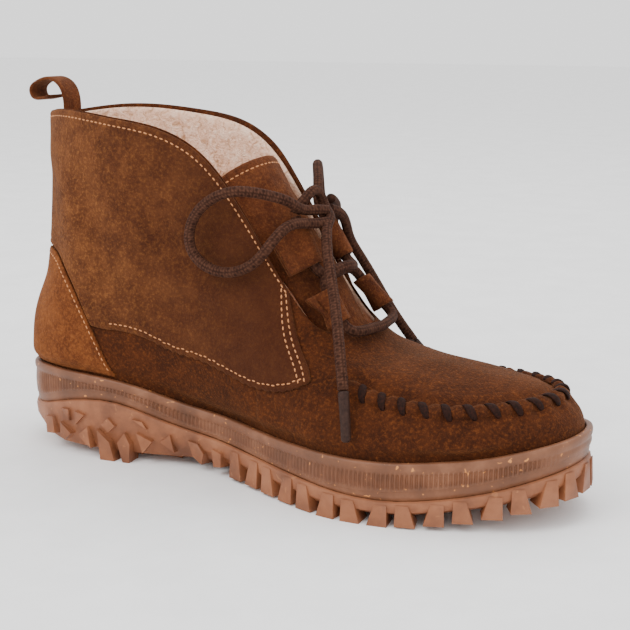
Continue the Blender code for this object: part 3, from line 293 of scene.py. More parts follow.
def sole_loop(count):
    """Closed outline loop with outward normals, shares and lengths along it."""
    turn = np.linspace(0.0, math.pi, 721)
    x, half, shift = outline_side(turn)
    reach = np.zeros(len(turn))
    for side in (-1.0, 1.0):
        steps = np.hypot(np.diff(x), np.diff(side * half + shift))
        reach[1:] += 0.5 * np.cumsum(steps)
    even = np.interp(np.linspace(0.0, reach[-1], count // 2 + 1), reach, turn)
    x, half, shift = outline_side(even)
    near = np.stack([x, shift - half], axis=1)
    far = np.stack([x, shift + half], axis=1)
    loop = np.vstack([near, far[-2:0:-1]])
    along = np.roll(loop, -1, axis=0) - np.roll(loop, 1, axis=0)
    along /= np.linalg.norm(along, axis=1)[:, None]
    normal = np.stack([along[:, 1], -along[:, 0]], axis=1)
    arc = np.concatenate([[0.0], np.cumsum(np.linalg.norm(np.diff(loop, axis=0), axis=1))])
    return loop, normal, np.clip(loop[:, 0] / SOLE_LENGTH, 0.0, 1.0), arc


def side_heights(share):
    """Lip top, foot of the ribs, wavy edge and ground at a share of the length."""
    return [smooth_column(SIDE, k, share) * SOLE_HEIGHT for k in range(1, 5)]


STATIONS = np.concatenate([[0.0], np.cumsum(STATION_STEP)])
ROUND_KNOTS = np.concatenate([STATIONS, 2.0 * STATIONS[-1] - STATIONS[-2:0:-1]])
ROUND = 2.0 * STATIONS[-1]


def ring_nodes():
    """Guide points of every fold line around both sides."""
    shift_keys = [row[0] * SOLE_LENGTH for row in OUTLINE]
    shift_values = [row[2] * BALL_WIDTH for row in OUTLINE]
    nodes = []
    for row, share in enumerate(RING_SHARE):
        xs = np.array(RING_X[row]) * SOLE_LENGTH
        ws = np.array(RING_WIDTH[row]) * BALL_WIDTH
        zs = np.array(RING_HEIGHT[row]) * LEG_HEIGHT
        shift = np.interp(xs, shift_keys, shift_values) * (1.0 - 0.6 * share)
        near = np.stack([xs, shift - ws, zs], axis=1)
        far = np.stack([xs, shift + ws, zs], axis=1)
        nodes.append(np.vstack([near, far[-2:0:-1]]))
    return np.array(nodes)


NODES = ring_nodes()
FIT_LOOP, FIT_NORMAL, FIT_SHARE, FIT_ARC = sole_loop(360)
CUP_INSET = RIM_WIDTH + GAP + 0.1
SEAT_DEPTH = 6.0
CUP_BLEND = 6.0


def lip_height(x):
    """Height of the lip of the sole at a distance from the heel."""
    return smooth_column(SIDE, 1, np.clip(np.asarray(x) / SOLE_LENGTH, 0.0, 1.0)) * SOLE_HEIGHT


def cup_depth(points):
    """Signed distance outside the sole outline, and the outline's normal there."""
    depth = np.empty(len(points))
    normal = np.empty((len(points), 2))
    for first in range(0, len(points), 6000):
        part = slice(first, first + 6000)
        gap = points[part, None, :2] - FIT_LOOP[None]
        nearest = np.argmin((gap ** 2).sum(axis=2), axis=1)
        normal[part] = FIT_NORMAL[nearest]
        depth[part] = (gap[np.arange(len(gap)), nearest] * normal[part]).sum(axis=1)
    return depth, normal


def upper_at(around, up):
    """Points of the upper at pairs of places; its foot follows the cup of the sole."""
    around = np.asarray(around, float)
    up = np.clip(np.asarray(up, float), 0.0, 1.0)
    across = spline_weights(ROUND_KNOTS, around, ROUND)
    rise = spline_weights(RING_SHARE, up)
    points = np.einsum("nr,nrc->nc", rise, np.einsum("rkc,nk->nrc", NODES, across))
    foot = across @ NODES[0]
    depth, normal = cup_depth(foot)
    foot[:, :2] -= normal * (depth + CUP_INSET)[:, None]
    lift = lip_height(foot[:, 0]) - SEAT_DEPTH - foot[:, 2]
    points[:, 2] += lift * np.clip(1.0 - up / RING_SHARE[1], 0.0, 1.0)
    depth, normal = cup_depth(points)
    high = (points[:, 2] - lip_height(points[:, 0]) - 0.5) / CUP_BLEND
    pull = 1.0 - ease(high)
    points[:, :2] -= normal * ((depth + CUP_INSET) * pull)[:, None]
    return points


def upper_point(around, up):
    """Point and outward normal of the upper at pairs of places."""
    around = np.asarray(around, float)
    up = np.clip(np.asarray(up, float), 0.0, 1.0)
    turn = 0.004 * ROUND
    lean = 0.008
    point = upper_at(around, up)
    along = upper_at(around + turn, up) - upper_at(around - turn, up)
    above = upper_at(around, up + lean) - upper_at(around, up - lean)
    normal = np.cross(along, above)
    normal /= np.linalg.norm(normal, axis=1)[:, None]
    return point, normal


def upper_place(x_share, z_share, far):
    """Place around and share up of the upper at a point of the side view."""
    x = x_share * SOLE_LENGTH
    z = z_share * LEG_HEIGHT
    half = np.linspace(0.0, ROUND / 2.0, 73)
    ups = np.linspace(0.0, 1.0, 49)
    around = ROUND - half if far else half
    pairs = np.array([(a, v) for v in ups for a in around])
    grid = upper_at(pairs[:, 0], pairs[:, 1]).reshape(len(ups), len(around), 3)
    gap = (grid[:, :, 0] - x) ** 2 + (grid[:, :, 2] - z) ** 2
    row, col = np.unravel_index(np.argmin(gap), gap.shape)
    place = np.array([half[col], ups[row]])
    reach = np.array([half[1], ups[1]])
    for _ in range(12):
        trials = np.array([place + reach * (du, dv) for du in (-1.0, 0.0, 1.0) for dv in (-1.0, 0.0, 1.0)])
        trials[:, 0] = np.clip(trials[:, 0], 0.0, ROUND / 2.0)
        trials[:, 1] = np.clip(trials[:, 1], 0.0, 1.0)
        spots = upper_at(ROUND - trials[:, 0] if far else trials[:, 0], trials[:, 1])
        miss = (spots[:, 0] - x) ** 2 + (spots[:, 2] - z) ** 2
        place = trials[int(np.argmin(miss))]
        reach = reach * 0.6
    return (ROUND - place[0] if far else place[0]), place[1]


def places(points, far=False):
    """Places on the upper for points of the side view."""
    return [upper_place(x, z, far) for x, z in points]

# Materials.
def colour(text):
    """Linear colour with alpha from an sRGB hex value."""
    parts = [int(text[k:k + 2], 16) / 255.0 for k in (1, 3, 5)]
    return (*[v / 12.92 if v <= 0.04045 else ((v + 0.055) / 1.055) ** 2.4 for v in parts], 1.0)


def node(tree, kind, inputs=None, out=0, stops=(), **settings):
    """A node with its settings, values, links and ramp stops; returns the output that is asked for."""
    made = tree.nodes.new(kind)
    for key, value in settings.items():
        setattr(made, key, value)
    for key, value in (inputs or {}).items():
        if isinstance(value, bpy.types.NodeSocket):
            tree.links.new(value, made.inputs[key])
        else:
            made.inputs[key].default_value = value
    for count, (place, text) in enumerate(stops):
        band = made.color_ramp.elements
        element = band[count] if count < 2 else band.new(place)
        element.position = place
        element.color = colour(text)
    return made.outputs[out] if len(made.outputs) else made


def new_material(name, settings):
    """A material with its shader's own values; returns it with its tree, shader and coordinates."""
    made = bpy.data.materials.new(name)
    made.use_nodes = True
    tree = made.node_tree
    shader = tree.nodes["Principled BSDF"]
    for key, value in settings.items():
        shader.inputs[key].default_value = value
    return made, tree, shader, node(tree, "ShaderNodeTexCoord", out="Object")


# Places of the colour mix among the sockets of a Mix node: factor, first, second and result.
FACTOR, FIRST, SECOND, MIXED = 0, 6, 7, 2


def grain_scale(size_mm):
    """Noise scale for lumps of a size in millimetres."""
    return 1.0 / (size_mm * MM)


def finish(tree, shader, base, height, depth_mm, strength):
    """Links the colour and a bump of a depth in millimetres to the shader."""
    tree.links.new(base, shader.inputs["Base Color"])
    bump = node(tree, "ShaderNodeBump", {
        "Height": height, "Distance": depth_mm * MM, "Strength": strength}, out="Normal")
    tree.links.new(bump, shader.inputs["Normal"])


def suede(name, tones, specks, patch_mm, painted_shade=None):
    """Split calf with a brushed nap: clouded colour, fine standing fibres, no gloss.

    tones are the deep, middle and light colour of the clouds, specks the two colours of the standing fibres,
    and painted_shade the colour of the painted shade that the piece darkens to towards the toe.
    """
    deep, body, light = tones
    made, tree, shader, where = new_material(name, {
        "Roughness": 0.95, "Specular IOR Level": 0.18, "IOR": 1.45, "Sheen Weight": 0.18,
        "Sheen Roughness": 0.45, "Sheen Tint": colour("#c98850")})
    clouds = node(tree, "ShaderNodeTexNoise", {
        "Vector": where, "Scale": grain_scale(patch_mm), "Detail": 3.0, "Distortion": 0.4})
    base = node(tree, "ShaderNodeValToRGB", {"Fac": clouds}, stops=((0.3, deep), (0.72, light), (0.5, body)))
    grain = node(tree, "ShaderNodeTexNoise", {
        "Vector": where, "Scale": grain_scale(1.4), "Detail": 3.0, "Roughness": 0.75})
    speck = node(tree, "ShaderNodeValToRGB", {"Fac": grain},
                 stops=((0.36, specks[0]), (0.68, specks[1]), (0.52, body)))
    toned = node(tree, "ShaderNodeMix", {FACTOR: 0.5, FIRST: base, SECOND: speck}, MIXED, data_type="RGBA")
    rubbed = node(tree, "ShaderNodeTexNoise", {
        "Vector": where, "Scale": grain_scale(7.0), "Detail": 4.0, "Roughness": 0.6})
    dust = node(tree, "ShaderNodeValToRGB", {"Fac": rubbed}, stops=((0.42, deep), (0.62, light)))
    brushed = node(tree, "ShaderNodeMix", {FACTOR: 0.28, FIRST: toned, SECOND: dust}, MIXED, data_type="RGBA")
    # Painted shade: along x the colour is mixed towards a darker colour, so the front of the piece is painted
    # darker as shade.
    if painted_shade:
        across = node(tree, "ShaderNodeSeparateXYZ", {"Vector": where})
        forward = node(tree, "ShaderNodeMapRange", {
            "Value": across, "From Min": -0.09, "From Max": 0.0, "To Max": 0.8})
        brushed = node(tree, "ShaderNodeMix", {FACTOR: forward, FIRST: brushed, SECOND: colour(painted_shade)},
                       MIXED, data_type="RGBA")
    fibre = node(tree, "ShaderNodeTexNoise", {
        "Vector": where, "Scale": grain_scale(0.7), "Detail": 2.0, "Roughness": 0.7})
    nap = node(tree, "ShaderNodeMath", {0: grain, 1: fibre}, operation="ADD")
    finish(tree, shader, brushed, nap, 0.3, 0.9)
    return made


def fleece(name, pale, body, painted_pit_shade):
    """Looped wool lining: soft curls a few millimetres across, pale tips and painted shade in the pits."""
    made, tree, shader, where = new_material(name, {
        "Roughness": 1.0, "Specular IOR Level": 0.1, "Sheen Weight": 0.3, "Sheen Roughness": 0.6,
        "Sheen Tint": colour("#f4e4d4")})
    curls = node(tree, "ShaderNodeTexNoise", {
        "Vector": where, "Scale": grain_scale(3.2), "Detail": 3.0, "Roughness": 0.6, "Distortion": 1.2})
    # Painted shade: the colour ramp follows the same curls that raise the bump, so the pits are painted darker
    # as shade.
    base = node(tree, "ShaderNodeValToRGB", {"Fac": curls}, stops=((0.3, painted_pit_shade), (0.68, pale), (0.48, body)))
    loops = node(tree, "ShaderNodeTexNoise", {
        "Vector": where, "Scale": grain_scale(1.1), "Detail": 2.0, "Distortion": 0.8})
    finish(tree, shader, base, node(tree, "ShaderNodeMath", {0: curls, 1: loops}, operation="ADD"), 1.0, 0.8)
    return made


def rubber(name, deep, body, light, fleck, roughness, flecked):
    """Crepe rubber from a matt mould: soft satin skin, cloudy colour, light cork flecks."""
    made, tree, shader, where = new_material(name, {
        "Roughness": roughness, "Specular IOR Level": 0.35, "IOR": 1.52})
    clouds = node(tree, "ShaderNodeTexNoise", {
        "Vector": where, "Scale": grain_scale(14.0), "Detail": 4.0, "Roughness": 0.6})
    base = node(tree, "ShaderNodeValToRGB", {"Fac": clouds}, stops=((0.3, deep), (0.74, light), (0.52, body)))
    chips = node(tree, "ShaderNodeTexNoise", {
        "Vector": where, "Scale": grain_scale(2.6), "Detail": 1.0, "Distortion": 0.6})
    chosen = node(tree, "ShaderNodeMapRange", {"Value": chips, "From Min": 0.70, "From Max": 0.74})
    amount = node(tree, "ShaderNodeMath", {0: chosen, 1: flecked}, operation="MULTIPLY")
    spotted = node(tree, "ShaderNodeMix", {FACTOR: amount, FIRST: base, SECOND: colour(fleck)}, MIXED,
                   data_type="RGBA")
    skin = node(tree, "ShaderNodeTexNoise", {"Vector": where, "Scale": grain_scale(0.9), "Detail": 3.0})
    finish(tree, shader, spotted, skin, 0.12, 0.5)
    return made


def braided(name, deep, body, light):
    """Waxed polyester round braid: two families of strands, a dull painted highlight on their tops and painted
    shade in the dips between them.
    """
    made, tree, shader, where = new_material(name, {"Roughness": 0.85, "Specular IOR Level": 0.12})
    strand = node(tree, "ShaderNodeAttribute", out="Fac", attribute_name="strand")
    # Painted light: the strand pattern also swells the cord and sets the bump, so its ramp paints the strand
    # tops lighter as highlight and the dips darker as shade.
    base = node(tree, "ShaderNodeValToRGB", {"Fac": strand}, stops=((0.1, deep), (0.95, light), (0.55, body)))
    rubbed = node(tree, "ShaderNodeTexNoise", {"Vector": where, "Scale": grain_scale(2.4), "Detail": 2.0})
    worn = node(tree, "ShaderNodeValToRGB", {"Fac": rubbed}, stops=((0.4, body), (0.62, light)))
    toned = node(tree, "ShaderNodeMix", {FACTOR: 0.3, FIRST: base, SECOND: worn}, MIXED, data_type="RGBA")
    finish(tree, shader, toned, strand, 0.22, 0.7)
    return made


def grained(name, body, light, roughness, grain_mm, depth_mm):
    """A finish of one colour with fine grain: thread, thong, tape and dull plastic."""
    made, tree, shader, where = new_material(name, {"Roughness": roughness, "Specular IOR Level": 0.15})
    grain = node(tree, "ShaderNodeTexNoise", {
        "Vector": where, "Scale": grain_scale(grain_mm), "Detail": 3.0, "Roughness": 0.65})
    base = node(tree, "ShaderNodeValToRGB", {"Fac": grain}, stops=((0.35, body), (0.68, light)))
    finish(tree, shader, base, grain, depth_mm, 0.8)
    return made


SUEDE_VAMP = suede("brushed_suede_vamp", ("#2e1305", "#3f1c09", "#532910"), ("#170802", "#7a431c"), 34.0)
# The quarter's last colour is painted shade, mixed in towards the toe.
SUEDE_QUARTER = suede("brushed_suede_quarter", ("#3c1d0c", "#583019", "#764726"), ("#2a1208", "#945f30"), 22.0,
                      "#361709")
SUEDE_COUNTER = suede("brushed_suede_counter", ("#4c240f", "#673618", "#7e4822"), ("#30160a", "#965c2c"), 26.0)
SUEDE_DARK = suede("brushed_suede_tongue", ("#38190b", "#4f2613", "#683a1f"), ("#221007", "#7e4c26"), 20.0)
# The lining's last colour is the painted shade in the pits of the curls.
LINING_FLEECE = fleece("wool_fleece_lining", "#fbdcc4", "#eec2a5", "#c0926f")
BAND_RUBBER = rubber("moulded_gum_rubber_band", "#5c3925", "#70452c", "#86583d", "#cf8748", 0.5, 0.8)
TREAD_RUBBER = rubber("moulded_crepe_rubber_tread", "#6a3f28", "#875234", "#996241", "#c08253", 0.55, 0.25)
# Lace colours: the first is painted shade in the dips, the last the painted highlight on the strand tops, also
# used for the rubbed wear.
LACE_BRAID = braided("waxed_polyester_braid", "#120804", "#29150d", "#523426")
TIP_TUBE = grained("acetate_tube_tip", "#24140e", "#38241c", 0.5, 1.4, 0.06)
SEAM_THREAD = grained("bonded_nylon_thread", "#a86c40", "#c98e62", 0.55, 0.4, 0.05)
WHIP_THONG = grained("waxed_leather_thong", "#150703", "#2c130a", 0.8, 1.1, 0.22)
FLOOR_PAPER = grained("matt_white_paper", "#f4f4f4", "#fafafa", 0.95, 40.0, 0.02)


# Meshes in millimetres of the boot.
def in_frame(points):
    return (np.asarray(points, float) + FRAME_SHIFT) * MM


def mesh_piece(name, points, faces, made, values=None, outward=True):
    """A mesh object in the frame of the solids, with its normals pointing outwards."""
    mesh = bpy.data.meshes.new(name)
    mesh.from_pydata(in_frame(points).tolist(), [], [tuple(int(v) for v in face) for face in faces])
    for key, numbers in (values or {}).items():
        mesh.attributes.new(key, "FLOAT", "POINT").data.foreach_set("value", np.asarray(numbers, np.float32))
    if outward:
        shape = bmesh.new()
        shape.from_mesh(mesh)
        bmesh.ops.recalc_face_normals(shape, faces=shape.faces)
        shape.to_mesh(mesh)
        shape.free()
    mesh.polygons.foreach_set("use_smooth", [True] * len(mesh.polygons))
    mesh.materials.append(made)
    mesh.update()
    thing = bpy.data.objects.new(name, mesh)
    bpy.context.scene.collection.objects.link(thing)
    return thing


def grid_faces(rows, cols, loop_rows=False, loop_cols=False):
    """Faces of a grid of points, closed in either direction."""
    row, col = np.meshgrid(
        np.arange(rows if loop_rows else rows - 1), np.arange(cols if loop_cols else cols - 1), indexing="ij")
    row_next = (row + 1) % rows
    col_next = (col + 1) % cols
    corners = (row * cols + col, row * cols + col_next, row_next * cols + col_next, row_next * cols + col)
    return np.stack(corners, axis=-1).reshape(-1, 4).tolist()


def shell(name, outer, inner, made, loop=False, values=None):
    """A closed wall between two grids of points; loop joins the last column to the first."""
    rows, cols = outer.shape[:2]
    stack = np.concatenate([outer, inner[::-1]])
    faces = grid_faces(2 * rows, cols, loop_rows=True, loop_cols=loop)
    if not loop:
        for edge, turned in ((0, False), (cols - 1, True)):
            for row in range(rows - 1):
                ring = (row * cols + edge, (row + 1) * cols + edge,
                        (2 * rows - 2 - row) * cols + edge, (2 * rows - 1 - row) * cols + edge)
                faces.append(ring[::-1] if turned else ring)
    numbers = {key: np.concatenate([both[0].ravel(), both[1][::-1].ravel()])
               for key, both in (values or {}).items()}
    return mesh_piece(name, stack.reshape(-1, 3), faces, made, numbers)


def grid_normals(grid, loop=False):
    """Normals of a grid of points from its rows and columns."""
    if loop:
        along = np.roll(grid, -1, axis=1) - np.roll(grid, 1, axis=1)
    else:
        along = np.gradient(grid, axis=1)
    above = np.gradient(grid, axis=0)
    normal = np.cross(along, above)
    return normal / np.maximum(np.linalg.norm(normal, axis=2), 1e-9)[:, :, None]


def dress(piece, slot, *nodes):
    """Ties a piece to the frame and hides the solids that it stands for."""
    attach(piece, "root")
    if nodes:
        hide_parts(*nodes)
    return piece


def lumps(points, size, seed):
    """Soft lumps from -1 to 1, about size mm across, as a sum of turned waves."""
    turns = np.random.default_rng(seed)
    total = np.zeros(points.shape[:-1])
    for _ in range(14):
        way = turns.normal(size=3)
        way *= 2.0 * math.pi / (size * turns.uniform(0.7, 1.6) * np.linalg.norm(way))
        total += np.sin(points @ way + turns.uniform(0.0, 2.0 * math.pi))
    return total / 3.7

# Leather folds and the gathered seam, shared by every layer of the upper.
def fold_relief(points):
    """Height of the soft folds at points of the boot; the sides are told apart by y."""
    total = np.zeros(points.shape[:-1])
    x = points[..., 0]
    z = points[..., 2]
    for side, x1, z1, x2, z2, half, height in FOLDS:
        run = np.array([x2 - x1, z2 - z1])
        along = np.clip(((x - x1) * run[0] + (z - z1) * run[1]) / (run @ run), 0.0, 1.0)
        away = np.hypot(x - x1 - along * run[0], z - z1 - along * run[1])
        flank = 0.5 * (1.0 + np.tanh(side * points[..., 1] / 9.0))
        total += height * np.exp(-(away / half) ** 2) * flank
    return total + 0.22 * lumps(points, 34.0, 5) + 0.09 * lumps(points, 13.0, 6)


GATHER_STEP = 9.0
SEAM_STEPS = 560


def seam_line(count):
    """Places, points, normals and lengths along the apron seam from near to far side."""
    near = places(APRON_SEAM)
    tip = upper_place(APRON_TIP[0], APRON_TIP[1], False)
    line = np.array(near + [(ROUND / 2.0, tip[1])] + [(ROUND - a, v) for a, v in near[::-1]])
    fine = spline_weights(np.arange(len(line)), np.linspace(0.0, len(line) - 1.0, 4 * 61)) @ line
    spots = upper_at(fine[:, 0], fine[:, 1])
    reach = np.concatenate([[0.0], np.cumsum(np.linalg.norm(np.diff(spots, axis=0), axis=1))])
    at = np.linspace(0.0, reach[-1], count)
    even = np.stack([np.interp(at, reach, fine[:, k]) for k in range(2)], axis=1)
    point, normal = upper_point(even[:, 0], even[:, 1])
    reach = np.concatenate([[0.0], np.cumsum(np.linalg.norm(np.diff(point, axis=0), axis=1))])
    return even, point, normal, reach


SEAM_PLACE, SEAM_POINT, SEAM_NORMAL, SEAM_REACH = seam_line(SEAM_STEPS)


def gather_relief(around, up, points):
    """Puckers of the wall below the apron seam, and the dip of the plug inside it."""
    flat = points.reshape(-1, 3)
    around = np.asarray(around).ravel()
    up = np.asarray(up).ravel()
    height = np.zeros(len(flat))
    rows = np.flatnonzero((around > SEAM_PLACE[0, 0] - 30.0) & (around < SEAM_PLACE[-1, 0] + 30.0))
    for first in range(0, len(rows), 3000):
        part = rows[first:first + 3000]
        gap = np.linalg.norm(flat[part][:, None] - SEAM_POINT[None], axis=2)
        nearest = np.argmin(gap, axis=1)
        away = gap[np.arange(len(part)), nearest]
        inside = up[part] > SEAM_PLACE[nearest, 1]
        ends = ease(SEAM_REACH[nearest] / 8.0) * ease((SEAM_REACH[-1] - SEAM_REACH[nearest]) / 8.0)
        wave = np.cos(2.0 * math.pi * SEAM_REACH[nearest] / GATHER_STEP)
        wall = 0.95 * np.exp(-(away / 4.5) ** 2) - 0.8 * wave * np.exp(-(away / 6.0) ** 2)
        plug = -0.8 * np.exp(-((away - 4.5) / 3.0) ** 2) - 0.3 * wave * np.exp(-(away / 5.0) ** 2)
        height[part] = np.where(inside, plug, wall) * ends
    return height.reshape(points.shape[:-1])


# Upper: the outer leather with its folds, and the fleece lining inside it.
UPPER_COLUMNS = 420
UPPER_ROWS = 112
UPPER_HEIGHT = 120.0
EDGE_ROUNDING = 1.5
LEATHER = 1.2
SIDE_SEAM_X = 144.0


def lifted_share(around, lift):
    """Share up the upper at which it stands a given height above the lip of the sole."""
    ups = np.linspace(0.0, 0.4, 81)
    spots = upper_at(np.full(len(ups), around), ups)
    return float(np.interp(lift, spots[:, 2] - lip_height(spots[:, 0]), ups))


def build_upper():
    columns = np.linspace(0.0, ROUND, UPPER_COLUMNS, endpoint=False)
    coarse = np.linspace(0.0, ROUND, 71)
    crease = np.interp(columns, coarse, [lifted_share(a, -1.6) for a in coarse])
    rise = np.linspace(0.0, 1.0, UPPER_ROWS) ** 0.92
    around = np.tile(columns, (UPPER_ROWS, 1))
    up = crease[None] + (0.995 - crease[None]) * rise[:, None]
    grid = upper_at(around.ravel(), up.ravel()).reshape(UPPER_ROWS, UPPER_COLUMNS, 3)
    normal = grid_normals(grid, loop=True)
    relief = fold_relief(grid) + gather_relief(around, up, grid)
    seam = np.exp(-((grid[..., 0] - SIDE_SEAM_X) / 0.8) ** 2) * (grid[..., 2] < 50.0)
    past = grid[..., 0] - SIDE_SEAM_X
    step = 0.35 * np.tanh(past / 0.6) * np.exp(-(past / 9.0) ** 2)
    relief = relief + (step * (grid[..., 2] < 50.0) - 0.55 * seam) * (around < 400.0)
    settle = ease((grid[..., 2] - lip_height(grid[..., 0].ravel()).reshape(grid.shape[:2]) - 0.2) / 2.5)
    outer = grid + normal * (relief * settle)[..., None]
    inner = outer - normal * LEATHER
    edge = np.clip(1.0 - (1.0 - rise) * UPPER_HEIGHT / EDGE_ROUNDING, 0.0, 1.0)[:, None, None] * 0.35
    outer = outer - normal * edge
    inner = inner + normal * edge
    inner[0] = outer[0] - normal[0] * LEATHER * 0.9
    return shell("upper_leather", outer, inner, SUEDE_VAMP, loop=True)


def build_lining():
    count = 420
    rows = 96
    columns = np.linspace(0.0, ROUND, count, endpoint=False)
    coarse = np.linspace(0.0, ROUND, 71)
    low = np.interp(columns, coarse, [lifted_share(a, -3.0) for a in coarse])
    rise = np.linspace(0.0, 1.0, rows)
    around = np.tile(columns, (rows, 1))
    up = low[None] + (0.984 - low[None]) * rise[:, None]
    grid = upper_at(around.ravel(), up.ravel()).reshape(rows, count, 3)
    normal = grid_normals(grid, loop=True)
    relief = fold_relief(grid)
    top = ease((up - 0.90) / 0.09)
    curl = 0.55 * lumps(grid, 4.6, 11) + 0.35 * lumps(grid, 2.6, 12)
    pile = 1.25 + 0.55 * curl * (1.0 - top)
    back = LEATHER + 0.08 - 0.4 * ease((up - 0.965) / 0.02)
    outer = grid + normal * (relief * (1.0 - top) - back)[..., None]
    inner = outer - normal * pile[..., None]
    outer[-1] = outer[-1] - normal[-1] * 0.3
    return shell("fleece_lining", outer, inner, LINING_FLEECE, loop=True)


# Overlays of the upper.
COUNTER_FOOT_LIFT = 1.0
COLLAR_SHARE = 0.992
COUNTER_GAP = 0.012


def seam_share(line, columns):
    """Share up of a seam, given as places of the near side, for signed columns."""
    keys = [around for around, up in line]
    return np.interp(np.abs(columns), keys, [up for around, up in line])


def overlay(name, columns, low, high, rows, lift, made):
    """A patch of leather over the upper, with thinned edges and its own cut line."""
    share = 0.5 - 0.5 * np.cos(np.linspace(0.0, math.pi, rows))
    share = 0.35 * share + 0.65 * np.linspace(0.0, 1.0, rows)
    around = np.tile(columns, (rows, 1))
    up = low[None] + (high - low)[None] * share[:, None]
    point, normal = upper_point(around.ravel(), up.ravel())
    point = point.reshape(rows, len(columns), 3)
    normal = normal.reshape(rows, len(columns), 3)
    relief = fold_relief(point)
    steps = np.linalg.norm(np.diff(point, axis=0), axis=2)
    above = np.concatenate([np.zeros((1, len(columns))), np.cumsum(steps, axis=0)])
    sides = np.concatenate([[0.0], np.cumsum(np.linalg.norm(np.diff(point[rows // 2], axis=0), axis=1))])
    border = np.minimum(np.minimum(above, above[-1] - above), np.minimum(sides, sides[-1] - sides)[None])
    rounding = 0.55 * np.exp(-(border / 0.7) ** 2)
    pressed = -0.22 * np.exp(-((border - 2.6) / 0.8) ** 2)
    outer = point + normal * (relief + lift + OVERLAY - rounding + pressed)[..., None]
    inner = point + normal * (relief + lift)[..., None]
    return shell(name, outer, inner, made), outer, normal


COUNTER_TOP_SHARE = 0.5
QUARTER_SEAM = [(0.0, COUNTER_TOP_SHARE)] + places(COUNTER_SEAM[1:4] + QUARTER_EDGE)
COUNTER_LINE = [(0.0, COUNTER_TOP_SHARE)] + places(COUNTER_SEAM[1:])


def smooth_seam(line):
    """The seam as a fine smooth table of places."""
    keys = np.array(line)
    reach = np.concatenate([[0.0], np.cumsum(np.hypot(np.diff(keys[:, 0]), 60.0 * np.diff(keys[:, 1])))])
    fine = spline_weights(reach, np.linspace(0.0, reach[-1], 160)) @ keys
    fine[:, 0] = np.maximum.accumulate(fine[:, 0] + np.arange(160) * 1e-6)
    return [tuple(row) for row in fine]


def quarter_low(columns):
    """Lower edge of the quarter with its fine scallops forward of the counter."""
    low = seam_share(QUARTER_CURVE, columns)
    scallop = 0.0045 * np.cos(2.0 * math.pi * np.abs(columns) / 4.2)
    forward = ease((np.abs(columns) - 95.0) / 8.0)
    return low + scallop * forward


QUARTER_CURVE = smooth_seam(QUARTER_SEAM[:4]) + smooth_seam(QUARTER_SEAM[4:])
COUNTER_CURVE = smooth_seam(COUNTER_LINE)


def build_quarter():
    columns = np.linspace(-QUARTER_CURVE[-1][0], QUARTER_CURVE[-1][0], 430)
    high = np.full(len(columns), COLLAR_SHARE)
    return overlay("quarter_leather", columns, quarter_low(columns), high, 90, 0.12, SUEDE_QUARTER)


def build_counter():
    reach = COUNTER_CURVE[-1][0] - 1.0
    columns = np.linspace(-reach, reach, 240)
    high = seam_share(COUNTER_CURVE, columns) - COUNTER_GAP
    coarse = np.linspace(0.0, COUNTER_CURVE[-1][0], 24)
    low = np.interp(np.abs(columns), coarse, [lifted_share(a, COUNTER_FOOT_LIFT) for a in coarse])
    return overlay("counter_leather", columns, low, np.maximum(high, low + 0.02), 60, 0.12, SUEDE_COUNTER)


def build_seam_ridge():
    """The gathered roll of the apron seam, pinched at every stitch."""
    along = directions(SEAM_POINT)
    across = np.cross(SEAM_NORMAL, along)
    turn = np.linspace(-0.10, math.pi + 0.10, 18)
    rings = []
    for k in range(SEAM_STEPS):
        phase = math.cos(2.0 * math.pi * SEAM_REACH[k] / GATHER_STEP)
        fade = min(1.0, max(0.25, min(SEAM_REACH[k], SEAM_REACH[-1] - SEAM_REACH[k]) / 10.0))
        half = 3.1 * fade * (1.0 - 0.12 * phase)
        high = 3.1 * fade * (0.86 - 0.20 * phase)
        ridge = 1.0 + 0.07 * np.cos(3.0 * turn + 2.0 * phase)
        rings.append(SEAM_POINT[k] - SEAM_NORMAL[k] * 0.2
                     + across[k] * (half * np.cos(turn) * ridge)[:, None]
                     + SEAM_NORMAL[k] * (high * np.sin(turn) * ridge)[:, None])
    grid = np.array(rings)
    grid += SEAM_NORMAL[:, None] * (0.12 * lumps(grid, 5.0, 21))[..., None]
    size = grid.shape[1]
    faces = grid_faces(SEAM_STEPS, size, loop_cols=True)
    faces.append(tuple(range(size)))
    faces.append(tuple(range(SEAM_STEPS * size - 1, SEAM_STEPS * size - size - 1, -1)))
    return mesh_piece("apron_seam_roll", grid.reshape(-1, 3), faces, SUEDE_VAMP)


